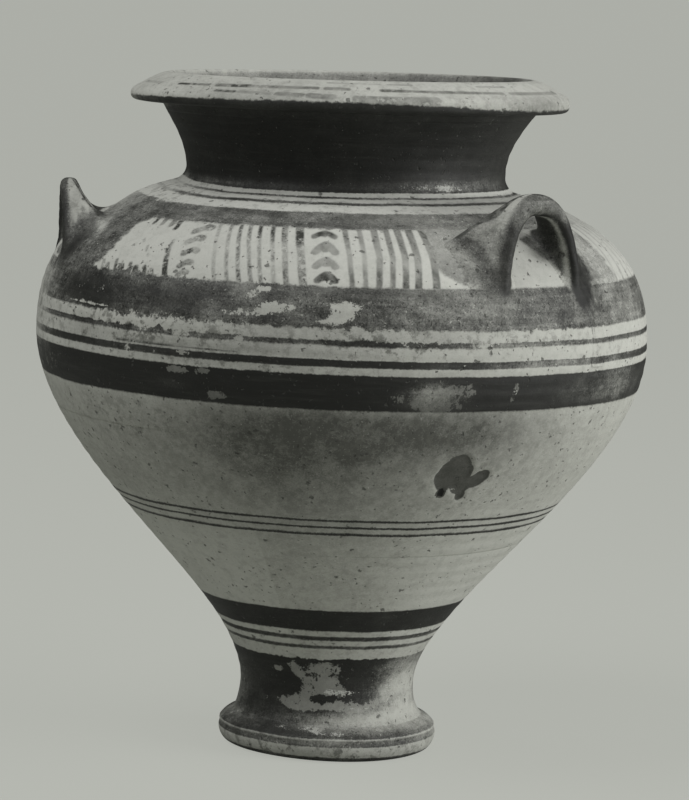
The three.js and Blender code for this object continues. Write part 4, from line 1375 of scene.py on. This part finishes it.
    def dress(self, x: np.ndarray, y: np.ndarray, z: np.ndarray, face: np.ndarray, edge: np.ndarray, seam: np.ndarray,
              finishes: Finishes) -> bpy.types.Object:
        """Turns the strap to its place, settles it with the shoulder and adds its materials."""
        rings, steps = x.shape
        leg = np.sign(x).ravel() == self.worn_leg
        x, y, z, face, edge, seam = (rows.ravel() for rows in (x, y, z, face, edge, seam))
        y = y + 0.15 * np.sin(x * 0.31 + self.degrees) * np.sin(z * 0.27) + 0.09 * np.sin(x * 0.8 + z * 0.6)
        radius = np.hypot(x, y)
        turn = np.arctan2(x, -y) + math.radians(self.degrees)
        zero = np.zeros_like(radius)
        points = HANDS.settle(turn, radius, z, zero, zero, zero)
        first = np.arange(steps)
        nxt = (first + 1) % steps
        quads = [np.stack([i * steps + first, i * steps + nxt, (i + 1) * steps + nxt, (i + 1) * steps + first], 1)
                 for i in range(rings - 1)]
        faces: list[tuple[int, ...]] = [tuple(f) for f in np.concatenate(quads).tolist()]
        faces.append(tuple(int(v) for v in first[::-1]))
        faces.append(tuple(int(v) for v in (rings - 1) * steps + first))
        azimuth = np.degrees(turn)
        above = z - SHAPE.shoulder_height(radius)
        rooted = np.where(leg, smooth(6, 1.0, above), smooth(2.5, 0.5, above))
        crown = smooth(34, 46, above)
        edge_low = self.pale[1] + 2.2 * np.sin(y * 0.55) + 1.4 * np.sin(y * 1.3 + z * 0.4)
        worn_face = face * smooth(0, 4, above - edge_low)
        half_face = face * smooth(7, 13, above) * (1 - smooth(0, 4, above - edge_low))
        values = {
            "height": z, "reach": radius, "stroke": zero + 9, "ink": zero,
            # The dark line along the strap's back edge: partly dark paint, partly painted shade on the inward edge
            # face; kept off near the roots and at the top.
            "edge_paint_and_shade": (np.abs(edge - self.edge_paint_and_shade[0]) - self.edge_paint_and_shade[1] * (1 + 1.1 * smooth(14, 32, above))) * 12
                   + 9 * smooth(6.0, 2.0, above) + 9 * smooth(50, 56, above),
            "even": zero + 0.4, "scar": zero + 9,
            "light": zero + 0.35, "stain": zero + 0.1, "grime": zero + 0.35, "ragged": zero,
            "ground": np.where(leg, 0.86, 0.86 - 0.05 * (1 - crown)) * (1 - rooted) + rooted * handle_ground(azimuth, z, radius),
            "worn": 0.10 + 0.22 * crown + 0.25 * worn_face + np.where(leg, 0.12, 0.0),
            "faded": np.clip(0.20 * crown + worn_face * self.pale[0] + 0.26 * half_face + 0.10 * face + seam * (1 - crown), -0.3, 0.78) * (1 - rooted)
                     + rooted * WEAR.total(WEAR.faded, azimuth, z, radius),
            "crust": 0.24 * crown + 0.26 * worn_face + 0.15 * smooth(14, 2, above),
            "smoke": WEAR.total(WEAR.smoke, azimuth, z, radius) * rooted,
        }
        piece = mesh_piece(f"loop_handle_{self.place}", points, faces, np.zeros(len(faces)), values, [finishes.wall])
        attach(piece, "root")
        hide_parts(f"handle_{self.place}", f"root_pad_{self.place}_near", f"root_pad_{self.place}_far")
        log.info("%s: %d points, azimuth %.0f to %.0f", piece.name, len(points), azimuth.min(), azimuth.max())
        return piece


@dataclass(frozen=True)
class Studio:
    """The pale floor and backdrop, the lamps and the camera at the photograph's viewing angle."""

    camera_place: tuple[float, float, float] = (0.9628, -2.5751, 0.5667)
    turn: float = 20.5
    pitch: float = 6.81
    yaw: float = 0.078
    roll: float = 2.27
    lens: float = 182.03
    floor_colour: tuple[float, float, float, float] = (0.468, 0.480, 0.440, 1)

    def build(self) -> None:
        """Makes the floor, the light and the camera."""
        self.floor()
        self.lamps()
        self.camera()

    def floor(self) -> None:
        """Makes one curved sheet: level under the jar, rising behind it."""
        half, back, rise, bend = 13.0, 6.9, 9.7, 3.4
        rows = [(-13.0, 0.0), (back - bend, 0.0)]
        rows += [(back - bend + bend * math.sin(a), bend - bend * math.cos(a)) for a in np.linspace(0, math.pi / 2, 24)[1:]]
        rows.append((back, rise))
        view = math.radians(self.turn)
        right, ahead = (math.cos(view), math.sin(view)), (-math.sin(view), math.cos(view))
        points = []
        for along, height in rows:
            for across in (-half, half):
                points.append((right[0] * across + ahead[0] * along, right[1] * across + ahead[1] * along, height))
        faces = [(2 * i, 2 * i + 1, 2 * i + 3, 2 * i + 2) for i in range(len(rows) - 1)]
        mesh = bpy.data.meshes.new("studio_floor")
        mesh.from_pydata(points, [], faces)
        mesh.polygons.foreach_set("use_smooth", [True] * len(faces))
        sheet = bpy.data.objects.new("studio_floor", mesh)
        bpy.context.scene.collection.objects.link(sheet)
        g = Graph("studio_paper")
        shader = g.node("ShaderNodeBsdfDiffuse", {"Color": self.floor_colour})
        glow = g.node("ShaderNodeEmission", {"Color": self.floor_colour, "Strength": 1.0})
        seen = g.node("ShaderNodeLightPath", {}).outputs["Is Camera Ray"]
        share = g.math("MULTIPLY", seen, 0.86)
        both = g.node("ShaderNodeMixShader", {0: share, 1: shader.outputs[0], 2: glow.outputs[0]})
        g.node("ShaderNodeOutputMaterial", {"Surface": both.outputs[0]})
        mesh.materials.append(g.material)

    def lamps(self) -> None:
        """Makes one large soft lamp on the right, one above on the left and a weak pale world."""
        self.lamp("lamp_right", 2.1, -0.6, 1.38, 1.7, 43.0)
        self.lamp("lamp_low", 2.05, -0.75, 0.25, 1.4, 24.0)
        self.lamp("lamp_above", -1.2, -0.8, 2.2, 1.6, 46.0)
        world = bpy.data.worlds.new("studio_air")
        bpy.context.scene.world = world
        world.use_nodes = True
        sky = world.node_tree.nodes["Background"]
        sky.inputs["Color"].default_value = (0.95, 0.97, 0.93, 1)
        sky.inputs["Strength"].default_value = 0.08

    def lamp(self, name: str, across: float, ahead: float, height: float, size: float, power: float) -> None:
        """Makes one square lamp that faces the jar.

        Args:
            name: The lamp's name.
            across: Metres to the right of the jar as the camera sees it.
            ahead: Metres behind the jar.
            height: Height in metres.
            size: Width in metres.
            power: Power in watts.
        """
        view = math.radians(self.turn)
        place = Vector((math.cos(view) * across - math.sin(view) * ahead,
                        math.sin(view) * across + math.cos(view) * ahead, height))
        data = bpy.data.lights.new(name, "AREA")
        data.shape, data.size, data.energy = "SQUARE", size, power
        made = bpy.data.objects.new(name, data)
        made.location = place
        made.rotation_euler = (Vector((0, 0, 0.25)) - place).to_track_quat("-Z", "Y").to_euler()
        bpy.context.scene.collection.objects.link(made)

    def camera(self) -> None:
        """Makes the camera with the photograph's direction, roll and framing."""
        data = bpy.data.cameras.new("view")
        data.sensor_fit = "VERTICAL"
        data.sensor_height = 36.0
        data.lens = self.lens
        data.clip_end = 60.0
        made = bpy.data.objects.new("view", data)
        made.location = self.camera_place
        heading = math.radians(self.turn - self.yaw)
        pitch = math.radians(self.pitch)
        ahead = Vector((-math.sin(heading) * math.cos(pitch), math.cos(heading) * math.cos(pitch), -math.sin(pitch)))
        look = ahead.to_track_quat("-Z", "Y")
        made.rotation_mode = "QUATERNION"
        tilt = Vector((0, 0, 1))
        from_roll = look @ Quaternion(tilt, math.radians(self.roll))
        made.rotation_quaternion = from_roll
        bpy.context.scene.collection.objects.link(made)
        bpy.context.scene.camera = made
        bpy.context.scene.view_settings.view_transform = "Standard"


def main() -> None:
    """Builds the jar and the studio round it."""
    logging.basicConfig(level=logging.INFO, format="%(message)s")
    finishes = Finishes()
    ThrownBody().build(finishes)
    LoopHandle("right", 61.2, 198.6, 58.9, 11.1, 32.8, 54.1, 0.54, 31.9, fullness=2.39, thickness=13.2,
               squareness=2.18, smear_reach=(23.0, 6.1, 11.9, 3.8), smear_rise=(21.4, 13.1, 12.2, 10.8), lean=-1.7,
               far_fullness=2.32, far_sweep=(0.00, 1.14), corner=(23.9, 7.3), corner_rise=33.7, corner_power=1.74,
               worn_leg=-1, edge_paint_and_shade=(1.0, 0.40), far_corner_pale=0.6, pale=(0.50, 24.0)).build(finishes)
    LoopHandle("back", 180.0).build(finishes)
    LoopHandle("left", 296.8, 193.3, 47.2, 7.5, 29.3, 49.3, 1.06, 33.2, fullness=1.88, thickness=14.1,
               smear_reach=(20.8, 7.2, 12.5, 3.1), smear_rise=(16.4, 10.3, 18.9, 13.2), lean=-2.2, far_fullness=2.27,
               far_sweep=(0.35, 1.18), corner=(15.4, 5.5), corner_rise=22.9, corner_power=1.52, worn_leg=1,
               edge_paint_and_shade=(0.72, 0.05), pale=(0.74, 12.0)).build(finishes)
    Studio().build()


if __name__ == "__main__":
    main()
